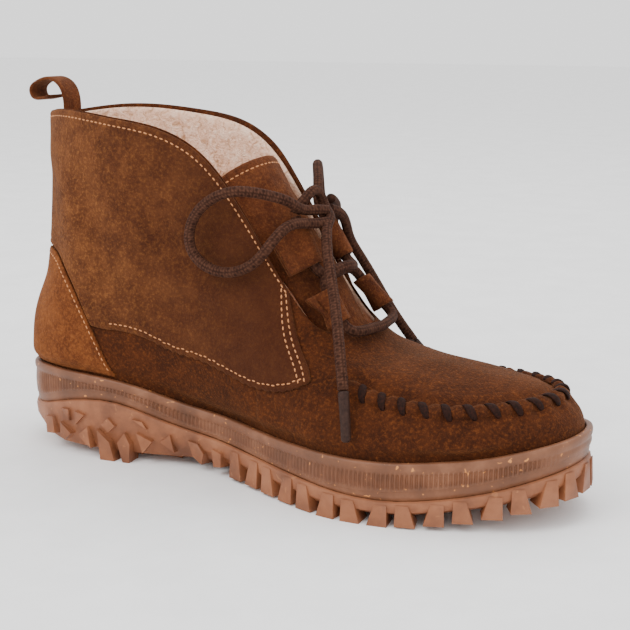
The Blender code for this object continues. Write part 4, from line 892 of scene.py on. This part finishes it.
# Stitches: a shape set down at every spot of a row.
def stitch_tree():
    """Puts a stitch shape at each point, turned to its row and the surface, as one mesh."""
    tree = bpy.data.node_groups.new("stitches_on_seam", "GeometryNodeTree")
    face = tree.interface
    face.new_socket("Spots", in_out="INPUT", socket_type="NodeSocketGeometry")
    face.new_socket("Stitch", in_out="INPUT", socket_type="NodeSocketObject")
    face.new_socket("Size", in_out="INPUT", socket_type="NodeSocketVector")
    face.new_socket("Sway", in_out="INPUT", socket_type="NodeSocketFloat")
    face.new_socket("Seed", in_out="INPUT", socket_type="NodeSocketInt")
    face.new_socket("Thread", in_out="INPUT", socket_type="NodeSocketMaterial")
    face.new_socket("Stitches", in_out="OUTPUT", socket_type="NodeSocketGeometry")
    given = tree.nodes.new("NodeGroupInput").outputs
    shape = node(tree, "GeometryNodeObjectInfo", {"Object": given["Stitch"]}, "Geometry",
                 transform_space="ORIGINAL")
    out = node(tree, "GeometryNodeInputNamedAttribute", {"Name": "out"}, data_type="FLOAT_VECTOR")
    along = node(tree, "GeometryNodeInputNamedAttribute", {"Name": "along"}, data_type="FLOAT_VECTOR")
    upright = node(tree, "FunctionNodeAlignRotationToVector", {"Vector": out}, axis="Z")
    turned = node(tree, "FunctionNodeAlignRotationToVector", {
        "Rotation": upright, "Vector": along}, axis="X", pivot_axis="Z")
    back = node(tree, "ShaderNodeMath", {0: given["Sway"], 1: -1.0}, operation="MULTIPLY")
    sway = node(tree, "FunctionNodeRandomValue", {2: back, 3: given["Sway"], "Seed": given["Seed"]}, 1,
                data_type="FLOAT")
    swing = node(tree, "ShaderNodeCombineXYZ", {"Z": sway})
    swung = node(tree, "FunctionNodeRotateRotation", {0: turned, 1: swing}, rotation_space="LOCAL")
    copies = node(tree, "GeometryNodeInstanceOnPoints", {
        "Points": given["Spots"], "Instance": shape, "Rotation": swung, "Scale": given["Size"]})
    real = node(tree, "GeometryNodeRealizeInstances", {"Geometry": copies})
    faced = node(tree, "GeometryNodeSetMaterial", {"Geometry": real, "Material": given["Thread"]})
    node(tree, "NodeGroupOutput", {0: faced})
    return tree


STITCH_TREE = stitch_tree()


def run_stitches(name, spots, out, along, stitch, size, sway, seed, made):
    """A plain mesh of stitches at spots given in millimetres of the boot."""
    mesh = bpy.data.meshes.new(name + "_spots")
    mesh.from_pydata(in_frame(spots).tolist(), [], [])
    for key, rows in (("out", out), ("along", along)):
        mesh.attributes.new(key, "FLOAT_VECTOR", "POINT").data.foreach_set(
            "vector", np.asarray(rows, np.float32).ravel())
    holder = bpy.data.objects.new(name + "_spots", mesh)
    bpy.context.scene.collection.objects.link(holder)
    step = holder.modifiers.new("stitches", "NODES")
    step.node_group = STITCH_TREE
    given = {"Stitch": stitch, "Size": size, "Sway": sway, "Seed": seed, "Thread": made}
    for item in STITCH_TREE.interface.items_tree:
        if item.in_out == "INPUT" and item.name in given:
            step[item.identifier] = given[item.name]
    shown = holder.evaluated_get(bpy.context.evaluated_depsgraph_get())
    plain = bpy.data.meshes.new_from_object(shown)
    plain.name = name
    plain.polygons.foreach_set("use_smooth", [True] * len(plain.polygons))
    bpy.data.objects.remove(holder, do_unlink=True)
    thing = bpy.data.objects.new(name, plain)
    bpy.context.scene.collection.objects.link(thing)
    if not plain.materials:
        plain.materials.append(made)
    return thing


def pillow_shape():
    """One thread stitch of unit size: a low pillow that dips into the leather at both ends."""
    points = []
    sides = 8
    for share in (0.0, 0.14, 0.5, 0.86, 1.0):
        fat = {0.0: 0.25, 0.14: 0.8, 0.5: 1.0, 0.86: 0.8, 1.0: 0.25}[share]
        sag = -0.75 * (2.0 * share - 1.0) ** 4
        for k in range(sides):
            angle = 2.0 * math.pi * k / sides
            points.append((share - 0.5, 0.5 * fat * math.cos(angle), 0.5 * fat * math.sin(angle) + sag))
    faces = grid_faces(5, sides, loop_cols=True)
    faces += [tuple(range(sides)), tuple(range(5 * sides - 1, 4 * sides - 1, -1))]
    return loose_shape("thread_stitch_shape", points, faces)


def thong_shape():
    """One whipstitch in millimetres: a flat thong slanting over the roll of the seam."""
    points = []
    steps = 13
    ring = [(-0.5, 0.0), (-0.42, 0.34), (-0.15, 0.5), (0.15, 0.5),
            (0.42, 0.34), (0.5, 0.0), (0.3, -0.4), (-0.3, -0.4)]
    for k in range(steps):
        share = k / (steps - 1.0)
        turn = math.pi * (0.03 + 0.94 * share)
        lift = 3.0 - 0.5 * abs(2.0 * share - 1.0) ** 3
        wide = 3.7 * (0.62 + 0.38 * math.sin(math.pi * share))
        thick = 1.25
        middle = np.array([1.9 * (share - 0.5) * 2.0, 3.25 * math.cos(turn), lift * math.sin(turn) - 0.1])
        out = np.array([0.0, math.cos(turn), math.sin(turn)])
        for a, b in ring:
            points.append(middle + np.array([1.0, 0.0, 0.0]) * wide * a + out * thick * b)
    faces = grid_faces(steps, len(ring), loop_cols=True)
    faces += [tuple(range(len(ring))), tuple(range(steps * len(ring) - 1, (steps - 1) * len(ring) - 1, -1))]
    return loose_shape("whip_stitch_shape", points, faces)


def loose_shape(name, points, faces):
    mesh = bpy.data.meshes.new(name)
    mesh.from_pydata([tuple(float(v) for v in p) for p in points], [], [tuple(f) for f in faces])
    shape = bmesh.new()
    shape.from_mesh(mesh)
    bmesh.ops.recalc_face_normals(shape, faces=shape.faces)
    shape.to_mesh(mesh)
    shape.free()
    thing = bpy.data.objects.new(name, mesh)
    bpy.context.scene.collection.objects.link(thing)
    return thing


def edge_path(outer, normal, inset, part, low_col=0, high_col=None):
    """A stitch row that follows the low or high edge of an overlay at an inset, interpolated."""
    rows, cols = outer.shape[:2]
    steps = np.linalg.norm(np.diff(outer, axis=0), axis=2)
    above = np.concatenate([np.zeros((1, cols)), np.cumsum(steps, axis=0)])
    high_col = cols if high_col is None else high_col
    path = []
    outs = []
    for c in range(low_col, high_col):
        want = inset if part == "low" else above[-1, c] - inset
        path.append([np.interp(want, above[:, c], outer[:, c, k]) for k in range(3)])
        outs.append([np.interp(want, above[:, c], normal[:, c, k]) for k in range(3)])
    return np.array(path), np.array(outs)


def side_path(outer, normal, inset, first, low_share, high_share):
    """A stitch row up the first or last column edge of an overlay, at an inset."""
    rows, cols = outer.shape[:2]
    path = []
    outs = []
    for r in range(int(low_share * (rows - 1)), int(high_share * (rows - 1)) + 1):
        row = outer[r] if first else outer[r, ::-1]
        lean = normal[r] if first else normal[r, ::-1]
        reach = np.concatenate([[0.0], np.cumsum(np.linalg.norm(np.diff(row, axis=0), axis=1))])
        path.append([np.interp(inset, reach, row[:, k]) for k in range(3)])
        outs.append([np.interp(inset, reach, lean[:, k]) for k in range(3)])
    return np.array(path), np.array(outs)


def stepped(path, outs, step):
    """Even spots along a path of points, with normals and directions."""
    reach = np.concatenate([[0.0], np.cumsum(np.linalg.norm(np.diff(path, axis=0), axis=1))])
    at = np.arange(step * 0.5, reach[-1], step)
    spots = np.stack([np.interp(at, reach, path[:, k]) for k in range(3)], axis=1)
    lean = np.stack([np.interp(at, reach, outs[:, k]) for k in range(3)], axis=1)
    return spots, lean, directions(spots)


# Lacing frame and the pieces on it.
LACE_ORIGIN = np.array([0.601 * SOLE_LENGTH, 0.0, 0.5125 * LEG_HEIGHT])
LACE_RUN = np.array([-0.105 * SOLE_LENGTH, 0.0, 0.269 * LEG_HEIGHT])
LACE_REACH = float(np.linalg.norm(LACE_RUN))
LACE_UP = LACE_RUN / LACE_REACH
LACE_OUT = np.array([LACE_UP[2], 0.0, -LACE_UP[0]])
LACE_SIDE = np.array([0.0, 1.0, 0.0])


def lacing(up, side, out):
    """A point along the lacing: up as a share of its run, side of the ball width, out in mm."""
    return LACE_ORIGIN + LACE_RUN * up + LACE_SIDE * side * BALL_WIDTH + LACE_OUT * out


def build_tongue():
    """Tongue leather and the fleece that backs it."""
    rows = 90
    cols = 70
    line = smooth_line(np.array(TONGUE) * (SOLE_LENGTH, LEG_HEIGHT, BALL_WIDTH), rows)
    run = directions(line[:, :2])
    share = np.linspace(-1.0, 1.0, cols)
    grid = np.empty((rows, cols, 3))
    out = np.empty((rows, cols, 3))
    for row in range(rows):
        x, z, half = line[row]
        lean = np.array([run[row, 1], 0.0, -run[row, 0]])
        side = share * half
        corner = 1.0 - 0.02 * share ** 6 * (row / (rows - 1.0)) ** 10
        sag = TONGUE_CURVE * side ** 2
        grid[row] = np.stack([np.full(cols, x), side, z * corner], axis=1) - lean * sag[:, None]
        out[row] = lean + np.array([0.0, 1.0, 0.0]) * (2.0 * TONGUE_CURVE * side)[:, None]
    out /= np.linalg.norm(out, axis=2)[:, :, None]
    relief = 0.45 * lumps(grid, 24.0, 31) + 0.14 * lumps(grid, 9.0, 32)
    border = np.minimum(np.abs(share - 1.0), np.abs(share + 1.0))[None] * line[:, 2][:, None]
    border = np.minimum(border, (np.linspace(1.0, 0.0, rows) * line_length(line[:, :2]))[:, None])
    rounding = 0.5 * np.exp(-(border / 0.7) ** 2) + 0.2 * np.exp(-((border - 3.0) / 0.8) ** 2)
    outer = grid + out * (relief - rounding)[..., None]
    middle = grid + out * (relief - 1.5)[..., None]
    back = grid + out * (relief - TONGUE_THICKNESS - 0.25 * lumps(grid, 4.0, 33))[..., None]
    leather = shell("tongue_leather", outer, middle, SUEDE_DARK)
    pile = shell("tongue_fleece", middle - out * 0.05, back, LINING_FLEECE)
    top = stepped(outer[rows - 4], out[rows - 4], 2.6)
    return leather, pile, top


def throat_edge(up):
    """Side and out of the throat's near edge at a height along the lacing."""
    arounds = np.linspace(90.0, ROUND / 2.0 - 4.0, 240)
    spots = upper_at(arounds, np.ones(240)) - LACE_ORIGIN
    pick = int(np.argmin(np.abs(spots @ LACE_UP - up * LACE_REACH)))
    return abs(spots[pick, 1]) - 1.0, float(spots[pick] @ LACE_OUT)


EYE_RADIUS = LACE_RADIUS + 0.75


def hairpin(centre, tail):
    """Centre line of a folded band round an eye, in the plane across the lacing."""
    centre = np.array(centre)
    back = np.array(tail) - centre
    reach = float(np.linalg.norm(back))
    back /= reach
    left = np.array([-back[1], back[0]])
    bend = EYE_RADIUS + TAB_THICKNESS / 2.0
    apart = TAB_THICKNESS / 2.0 + 0.2
    shape = [(reach, apart), (0.75 * reach, apart), (1.75 * bend, apart + 0.15)]
    shape += [(bend * math.cos(math.radians(a)), bend * math.sin(math.radians(a)))
              for a in (58.0, 95.0, 137.0, 180.0, 223.0, 265.0, 302.0)]
    shape += [(1.75 * bend, -apart - 0.15), (0.75 * reach, -apart), (reach, -apart)]
    points = np.array([centre + back * a + left * b for a, b in shape])
    keys = np.arange(len(points), dtype=float)
    return spline_weights(keys, np.linspace(0.0, keys[-1], 72)) @ points


def build_tab(name, node_name, side, foot, head):
    """A folded band with an eye for the lace, ruled between its foot and its head."""
    ends = []
    for up, apart, out in (foot, head):
        edge_side, edge_out = throat_edge(up)
        path = hairpin((apart * BALL_WIDTH, out), (edge_side, edge_out + TAB_EDGE_OUT))
        run = directions(path)
        lean = np.stack([-run[:, 1], run[:, 0]], axis=1)
        ends.append((path, lean, up))
    rows = 26
    outer = np.empty((rows, 72, 3))
    inner = np.empty((rows, 72, 3))
    for row in range(rows):
        share = row / (rows - 1.0)
        path = ends[0][0] * (1.0 - share) + ends[1][0] * share
        lean = ends[0][1] * (1.0 - share) + ends[1][1] * share
        up = ends[0][2] * (1.0 - share) + ends[1][2] * share
        thin = TAB_THICKNESS / 2.0 * (1.0 - 0.35 * math.exp(-(min(share, 1.0 - share) * 18.0 / 0.7) ** 2))
        for store, away in ((outer, thin), (inner, -thin)):
            spots = path + lean * away
            store[row] = [lacing(up, side * a / BALL_WIDTH, b) for a, b in spots]
    return dress(shell(name, outer, inner, SUEDE_DARK), "suede", node_name)


def build_pull_loop():
    rows = 110
    cols = 18
    path = smooth_line(np.array(PULL_PATH) * (SOLE_LENGTH, LEG_HEIGHT), rows)
    run = directions(path)
    lean = np.stack([-run[:, 1], run[:, 0]], axis=1)
    share = np.linspace(-0.5, 0.5, cols)
    outer = np.empty((rows, cols, 3))
    inner = np.empty((rows, cols, 3))
    for k in range(cols):
        thin = 0.5 * PULL_THICKNESS * (1.0 - 0.4 * math.exp(-((0.5 - abs(share[k])) * PULL_WIDTH / 0.6) ** 2))
        y = PULL_WIDTH * share[k] - 1.0
        for store, away in ((outer, thin), (inner, -thin)):
            spots = path + lean * away
            store[:, k] = np.stack([spots[:, 0], np.full(rows, y), spots[:, 1]], axis=1)
    return outer, inner, np.stack([lean[:, 0], np.zeros(rows), lean[:, 1]], axis=1)


# Lace: a round braid.
def braid(name, points, radius, made, step=0.5, sides=20):
    """A braided round cord along a line of points, with its strands in the attribute strand."""
    length = line_length(points)
    count = max(12, int(length / step))
    path = smooth_line(points, count)
    run = directions(path)
    lead = np.cross(run[0], (0.3, 0.2, 1.0))
    lead /= np.linalg.norm(lead)
    angle = 2.0 * math.pi * np.arange(sides) / sides
    rings = []
    strands = []
    for k in range(count):
        lead = lead - run[k] * (lead @ run[k])
        lead /= np.linalg.norm(lead)
        side = np.cross(run[k], lead)
        walk = 2.0 * math.pi * k * (length / (count - 1.0)) / 5.6
        right = np.cos(4.0 * angle + 2.0 * walk)
        left = np.cos(4.0 * angle - 2.0 * walk)
        strand = 0.5 + 0.5 * np.maximum(right, left) * np.abs(right - left) * 0.7
        size = radius * (0.95 + 0.07 * strand)
        rings.append(path[k] + (size * np.cos(angle))[:, None] * lead + (size * np.sin(angle))[:, None] * side)
        strands.append(strand)
    faces = grid_faces(count, sides, loop_cols=True)
    faces += [tuple(range(sides)), tuple(range(count * sides - 1, (count - 1) * sides - 1, -1))]
    thing = mesh_piece(name, np.array(rings).reshape(-1, 3), faces, made,
                       {"strand": np.clip(np.array(strands).ravel(), 0.0, 1.0)})
    return thing, path


def tip_tube(name, points):
    """A dull tube tip rolled over the braid, with a lap along it and a pinched end."""
    count = 40
    path = smooth_line(points, count)
    run = directions(path)
    lead = np.cross(run[0], (0.0, 0.0, 1.0))
    lead /= np.linalg.norm(lead)
    sides = 18
    angle = 2.0 * math.pi * np.arange(sides) / sides
    rings = []
    for k in range(count):
        lead = lead - run[k] * (lead @ run[k])
        lead /= np.linalg.norm(lead)
        side = np.cross(run[k], lead)
        share = k / (count - 1.0)
        size = TIP_RADIUS * (0.96 - 0.10 * share) * (1.0 - 0.5 * max(0.0, (share - 0.94) / 0.06) ** 2)
        size *= 0.86 + 0.14 * min(1.0, share / 0.04)
        lap = size + 0.18 * np.exp(-((angle - 1.2) / 0.25) ** 2)
        rings.append(path[k] + (lap * np.cos(angle))[:, None] * lead + (lap * np.sin(angle))[:, None] * side)
    faces = grid_faces(count, sides, loop_cols=True)
    faces += [tuple(range(sides)), tuple(range(count * sides - 1, (count - 1) * sides - 1, -1))]
    return mesh_piece(name, np.array(rings).reshape(-1, 3), faces, TIP_TUBE)


# Sole.
RIB_PITCH = 1.95
BAND_COLUMNS = 2400
SEAT_GAP = 0.5


def build_band():
    """The moulded band: a smooth lip, fine upright ribs, a step and a plain foot."""
    loop, normal, share, arc = sole_loop(BAND_COLUMNS)
    lip, foot, wavy, ground = side_heights(share)
    ribbed = ease((share - 0.045) / 0.05) * ease((0.985 - share) / 0.03)
    groove = (0.5 - 0.5 * np.cos(2.0 * math.pi * arc / RIB_PITCH)) ** 0.7
    seat = lip_height(loop[:, 0] - RIM_WIDTH * normal[:, 0]) - SEAT_DEPTH - SEAT_GAP
    top = lip - 4.2
    low = foot + 0.6
    rings = [(6.5, wavy - 3.0 + GAP / 2.0), (1.3, wavy + GAP / 2.0), (1.05, wavy + 0.5 * (low - wavy)),
             (1.0, low - 0.7), (0.75, low - 0.25)]
    for t in np.linspace(0.0, 1.0, 9):
        ends = ease(min(t, 1.0 - t) / 0.12)
        bulge = 0.35 * math.sin(math.pi * t)
        rings.append((0.62 - bulge + 1.0 * groove * ribbed * ends, low + (top - low) * t))
    rings += [(0.42, top + 0.5), (0.12, top + 1.2), (0.0, lip - 2.0), (0.05, lip - 1.1), (0.3, lip - 0.4),
              (0.8, lip - 0.05), (1.4, lip), (2.2, lip - 0.02), (2.75, lip - 0.2), (RIM_WIDTH, lip - 0.7),
              (RIM_WIDTH, seat)]
    grid = []
    for inset, height in rings:
        place = loop - normal * np.broadcast_to(inset, len(loop))[:, None]
        grid.append(np.column_stack([place, np.broadcast_to(height, len(loop))]))
    grid = np.array(grid)
    rows = len(grid)
    faces = grid_faces(rows, BAND_COLUMNS, loop_cols=True)
    for first, up in ((0, False), ((rows - 1) * BAND_COLUMNS, True)):
        half = BAND_COLUMNS // 2
        faces.append((first, first + 1, first + BAND_COLUMNS - 1))
        for k in range(1, half - 1):
            faces.append((first + k, first + k + 1, first + BAND_COLUMNS - k - 1, first + BAND_COLUMNS - k))
        faces.append((first + half - 1, first + half, first + half + 1))
    return mesh_piece("ribbed_band", grid.reshape(-1, 3), faces, BAND_RUBBER)


def build_tread():
    """The tread from its own solid: merged, its edges softened as a mould leaves them."""
    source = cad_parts["outsole"]
    mesh = source.data.copy()
    mesh.transform(source.matrix_world)
    shape = bmesh.new()
    shape.from_mesh(mesh)
    bmesh.ops.remove_doubles(shape, verts=shape.verts, dist=2e-6)
    bmesh.ops.dissolve_limit(shape, angle_limit=math.radians(1.5), verts=shape.verts, edges=shape.edges)
    shape.to_mesh(mesh)
    shape.free()
    mesh.materials.clear()
    mesh.materials.append(TREAD_RUBBER)
    mesh.polygons.foreach_set("use_smooth", [True] * len(mesh.polygons))
    thing = bpy.data.objects.new("lugged_tread", mesh)
    bpy.context.scene.collection.objects.link(thing)
    round_off = thing.modifiers.new("soft_edges", "BEVEL")
    round_off.width = 0.55 * MM
    round_off.segments = 2
    round_off.limit_method = "ANGLE"
    round_off.angle_limit = math.radians(24.0)
    round_off.use_clamp_overlap = True
    round_off.harden_normals = True
    return thing


def build_footbed():
    loop, normal, share, arc = sole_loop(220)
    edge = CUP_INSET + WALL + GAP + 0.9
    seat = lip_height(loop[:, 0] - edge * normal[:, 0]) - SEAT_DEPTH
    rows = [(edge, seat + 0.3), (edge, seat + 2.4), (edge + 0.8, seat + 3.0)]
    rows += [(None, share_in) for share_in in np.linspace(0.06, 0.94, 16)]
    grid = []
    middle = np.column_stack([loop[:, 0], np.interp(share, [row[0] for row in OUTLINE],
                                                    [row[2] * BALL_WIDTH for row in OUTLINE])])
    rim = None
    for inset, height in rows:
        if inset is not None:
            rim = np.column_stack([loop - normal * inset, height])
            grid.append(rim)
        else:
            point = rim.copy()
            point[:, 1] += (middle[:, 1] - rim[:, 1]) * height
            grid.append(point)
    grid = np.array(grid)
    grid[3:, :, 2] += 0.3 * lumps(grid[3:], 4.2, 41)
    rows = len(grid)
    faces = grid_faces(rows, 220, loop_cols=True)
    for first in (0, (rows - 1) * 220):
        faces.append((first, first + 1, first + 219))
        for k in range(1, 109):
            faces.append((first + k, first + k + 1, first + 219 - k, first + 220 - k))
        faces.append((first + 109, first + 110, first + 111))
    return mesh_piece("fleece_footbed", grid.reshape(-1, 3), faces, LINING_FLEECE)

# Camera at the photograph's place: its axes and place in the boot's millimetres.
CAMERA_PLACE = (433.7, -506.8, 196.5)
CAMERA_RIGHT = (0.8652, 0.5013, 0.0)
CAMERA_UP = (-0.1138, 0.1964, 0.9738)
CAMERA_BACK = (0.4883, -0.8426, 0.2270)
CAMERA_LENS = 76.77
CAMERA_SHIFT = (0.0334, 0.0366)


def build_camera():
    data = bpy.data.cameras.new("photo_camera")
    data.lens = CAMERA_LENS
    data.shift_x, data.shift_y = CAMERA_SHIFT
    thing = bpy.data.objects.new("photo_camera", data)
    bpy.context.scene.collection.objects.link(thing)
    turn = Matrix((CAMERA_RIGHT, CAMERA_UP, CAMERA_BACK)).transposed().to_4x4()
    thing.matrix_world = Matrix.Translation(Vector(in_frame(CAMERA_PLACE))) @ turn
    bpy.context.scene.camera = thing


def build_laces():
    """Crossings, knot, bow and ends, each on the route that its solid follows."""
    def laced(points):
        return np.array([lacing(*spot) for spot in points])

    crossings, route = braid("braided_crossings", laced(LACE_PATH), LACE_RADIUS, LACE_BRAID)
    dress(crossings, "lace_cord", "lace_crossings")
    knot, route = braid("braided_knot", laced(KNOT_PATH), LACE_RADIUS, LACE_BRAID)
    dress(knot, "lace_cord", "lace_knot")
    for name, node_name, points in (("braided_near_loop", "lace_loop_near", NEAR_LOOP_PATH),
                                    ("braided_far_loop", "lace_loop_far", FAR_LOOP_PATH)):
        loop, route = braid(name, np.array(points), LACE_RADIUS, LACE_BRAID)
        dress(loop, "lace_cord", node_name)
    for side, points, tip_points in (("near", np.array(NEAR_END_PATH), np.array(NEAR_TIP_PATH)),
                                     ("far", laced(FAR_END_PATH), laced(FAR_TIP_PATH))):
        tip = dress(tip_tube("rolled_tip_" + side, tip_points), "tip_plastic", "lace_tip_" + side)
        end, route = braid("braided_end_" + side, points, LACE_RADIUS, LACE_BRAID)
        dress(end, "lace_cord", "lace_end_" + side)


def build_studio():
    """Pale paper floor, a big soft key on the left, a weaker fill and an even pale sky."""
    mesh = bpy.data.meshes.new("paper_floor")
    reach = 6.0
    mesh.from_pydata([(-reach, -reach, 0.0), (reach, -reach, 0.0), (reach, reach, 0.0), (-reach, reach, 0.0)],
                     [], [(0, 1, 2, 3)])
    mesh.materials.append(FLOOR_PAPER)
    floor = bpy.data.objects.new("paper_floor", mesh)
    bpy.context.scene.collection.objects.link(floor)
    for name, place, size, power in (("key_softbox", (-0.5, -1.1, 1.3), 0.9, 12.0),
                                     ("fill_softbox", (1.2, -0.7, 0.7), 0.9, 3.0),
                                     ("top_softbox", (0.1, 0.5, 1.6), 1.2, 8.0)):
        data = bpy.data.lights.new(name, "AREA")
        data.shape = "DISK"
        data.size = size
        data.energy = power
        light = bpy.data.objects.new(name, data)
        light.location = place
        light.rotation_euler = (Vector((0.0, 0.0, 0.06)) - Vector(place)).to_track_quat("-Z", "Y").to_euler()
        bpy.context.scene.collection.objects.link(light)
    world = bpy.data.worlds.new("pale_studio")
    world.use_nodes = True
    sky = world.node_tree.nodes["Background"]
    sky.inputs["Color"].default_value = (1.0, 1.0, 1.0, 1.0)
    sky.inputs["Strength"].default_value = 1.55
    bpy.context.scene.world = world


def sew(name, shape, rows, size, sway, seed, made, slot):
    """Sews rows of stitches, each given as spots, normals and directions."""
    spots, outs, runs = [np.concatenate(part) for part in zip(*rows)]
    dress(run_stitches(name, spots, outs, runs, shape, size, sway, seed, made), slot)


LOWER_ROW_SHARE = 0.6


def build_stitching(quarter, counter, tongue_row):
    pillow = pillow_shape()
    thong = thong_shape()
    outer, normal = quarter
    step = 2.7
    middle = outer.shape[1] // 2
    rows = [stepped(*edge_path(outer, normal, 3.0, "high", 3, outer.shape[1] - 3), step)]
    for first in (True, False):
        rows.append(stepped(*side_path(outer, normal, 3.0, first, 0.04, 0.96), step))
        rows.append(stepped(*side_path(outer, normal, 6.0, first, 0.05, 0.95), step))
    flank = int(LOWER_ROW_SHARE * middle)
    for low, high in ((4, flank), (outer.shape[1] - flank, outer.shape[1] - 4)):
        rows.append(stepped(*edge_path(outer, normal, 3.0, "low", low, high), step))
    outer, normal = counter
    rows.append(stepped(*edge_path(outer, normal, 2.6, "high", 3, outer.shape[1] - 3), step))
    rows.append(tongue_row)
    sew("lockstitch_rows", pillow, rows, (2.1 * MM, 0.75 * MM, 0.6 * MM), 0.10, 3, SEAM_THREAD, "suede")
    at = np.arange(GATHER_STEP, SEAM_REACH[-1] - 2.0, GATHER_STEP)
    pick = [int(np.argmin(np.abs(SEAM_REACH - spot))) for spot in at]
    whips = [(SEAM_POINT[pick], SEAM_NORMAL[pick], directions(SEAM_POINT)[pick])]
    sew("whipstitch_thongs", thong, whips, (MM, MM, MM), 0.12, 7, WHIP_THONG, "suede_dark")
    for shape in (pillow, thong):
        bpy.data.objects.remove(shape, do_unlink=True)


build_camera()
build_laces()
dress(build_upper(), "suede", "upper")
dress(build_lining(), "footbed_felt")
quarter_piece, quarter_outer, quarter_normal = build_quarter()
dress(quarter_piece, "suede", "quarter_panel")
counter_piece, counter_outer, counter_normal = build_counter()
dress(counter_piece, "suede", "heel_counter")
dress(build_seam_ridge(), "suede", "apron_seam")
tongue_leather, tongue_fleece, tongue_row = build_tongue()
dress(tongue_leather, "suede", "tongue")
dress(tongue_fleece, "footbed_felt")
for tab in TAB_FOLDS:
    build_tab(*tab)
strap_outer, strap_inner, strap_normal = build_pull_loop()
dress(shell("pull_strap", strap_outer, strap_inner, SUEDE_DARK), "suede", "pull_loop")
dress(build_band(), "band_rubber", "midsole")
dress(build_tread(), "tread_rubber", "outsole")
dress(build_footbed(), "footbed_felt", "insole")
build_stitching((quarter_outer, quarter_normal), (counter_outer, counter_normal), tongue_row)
build_studio()
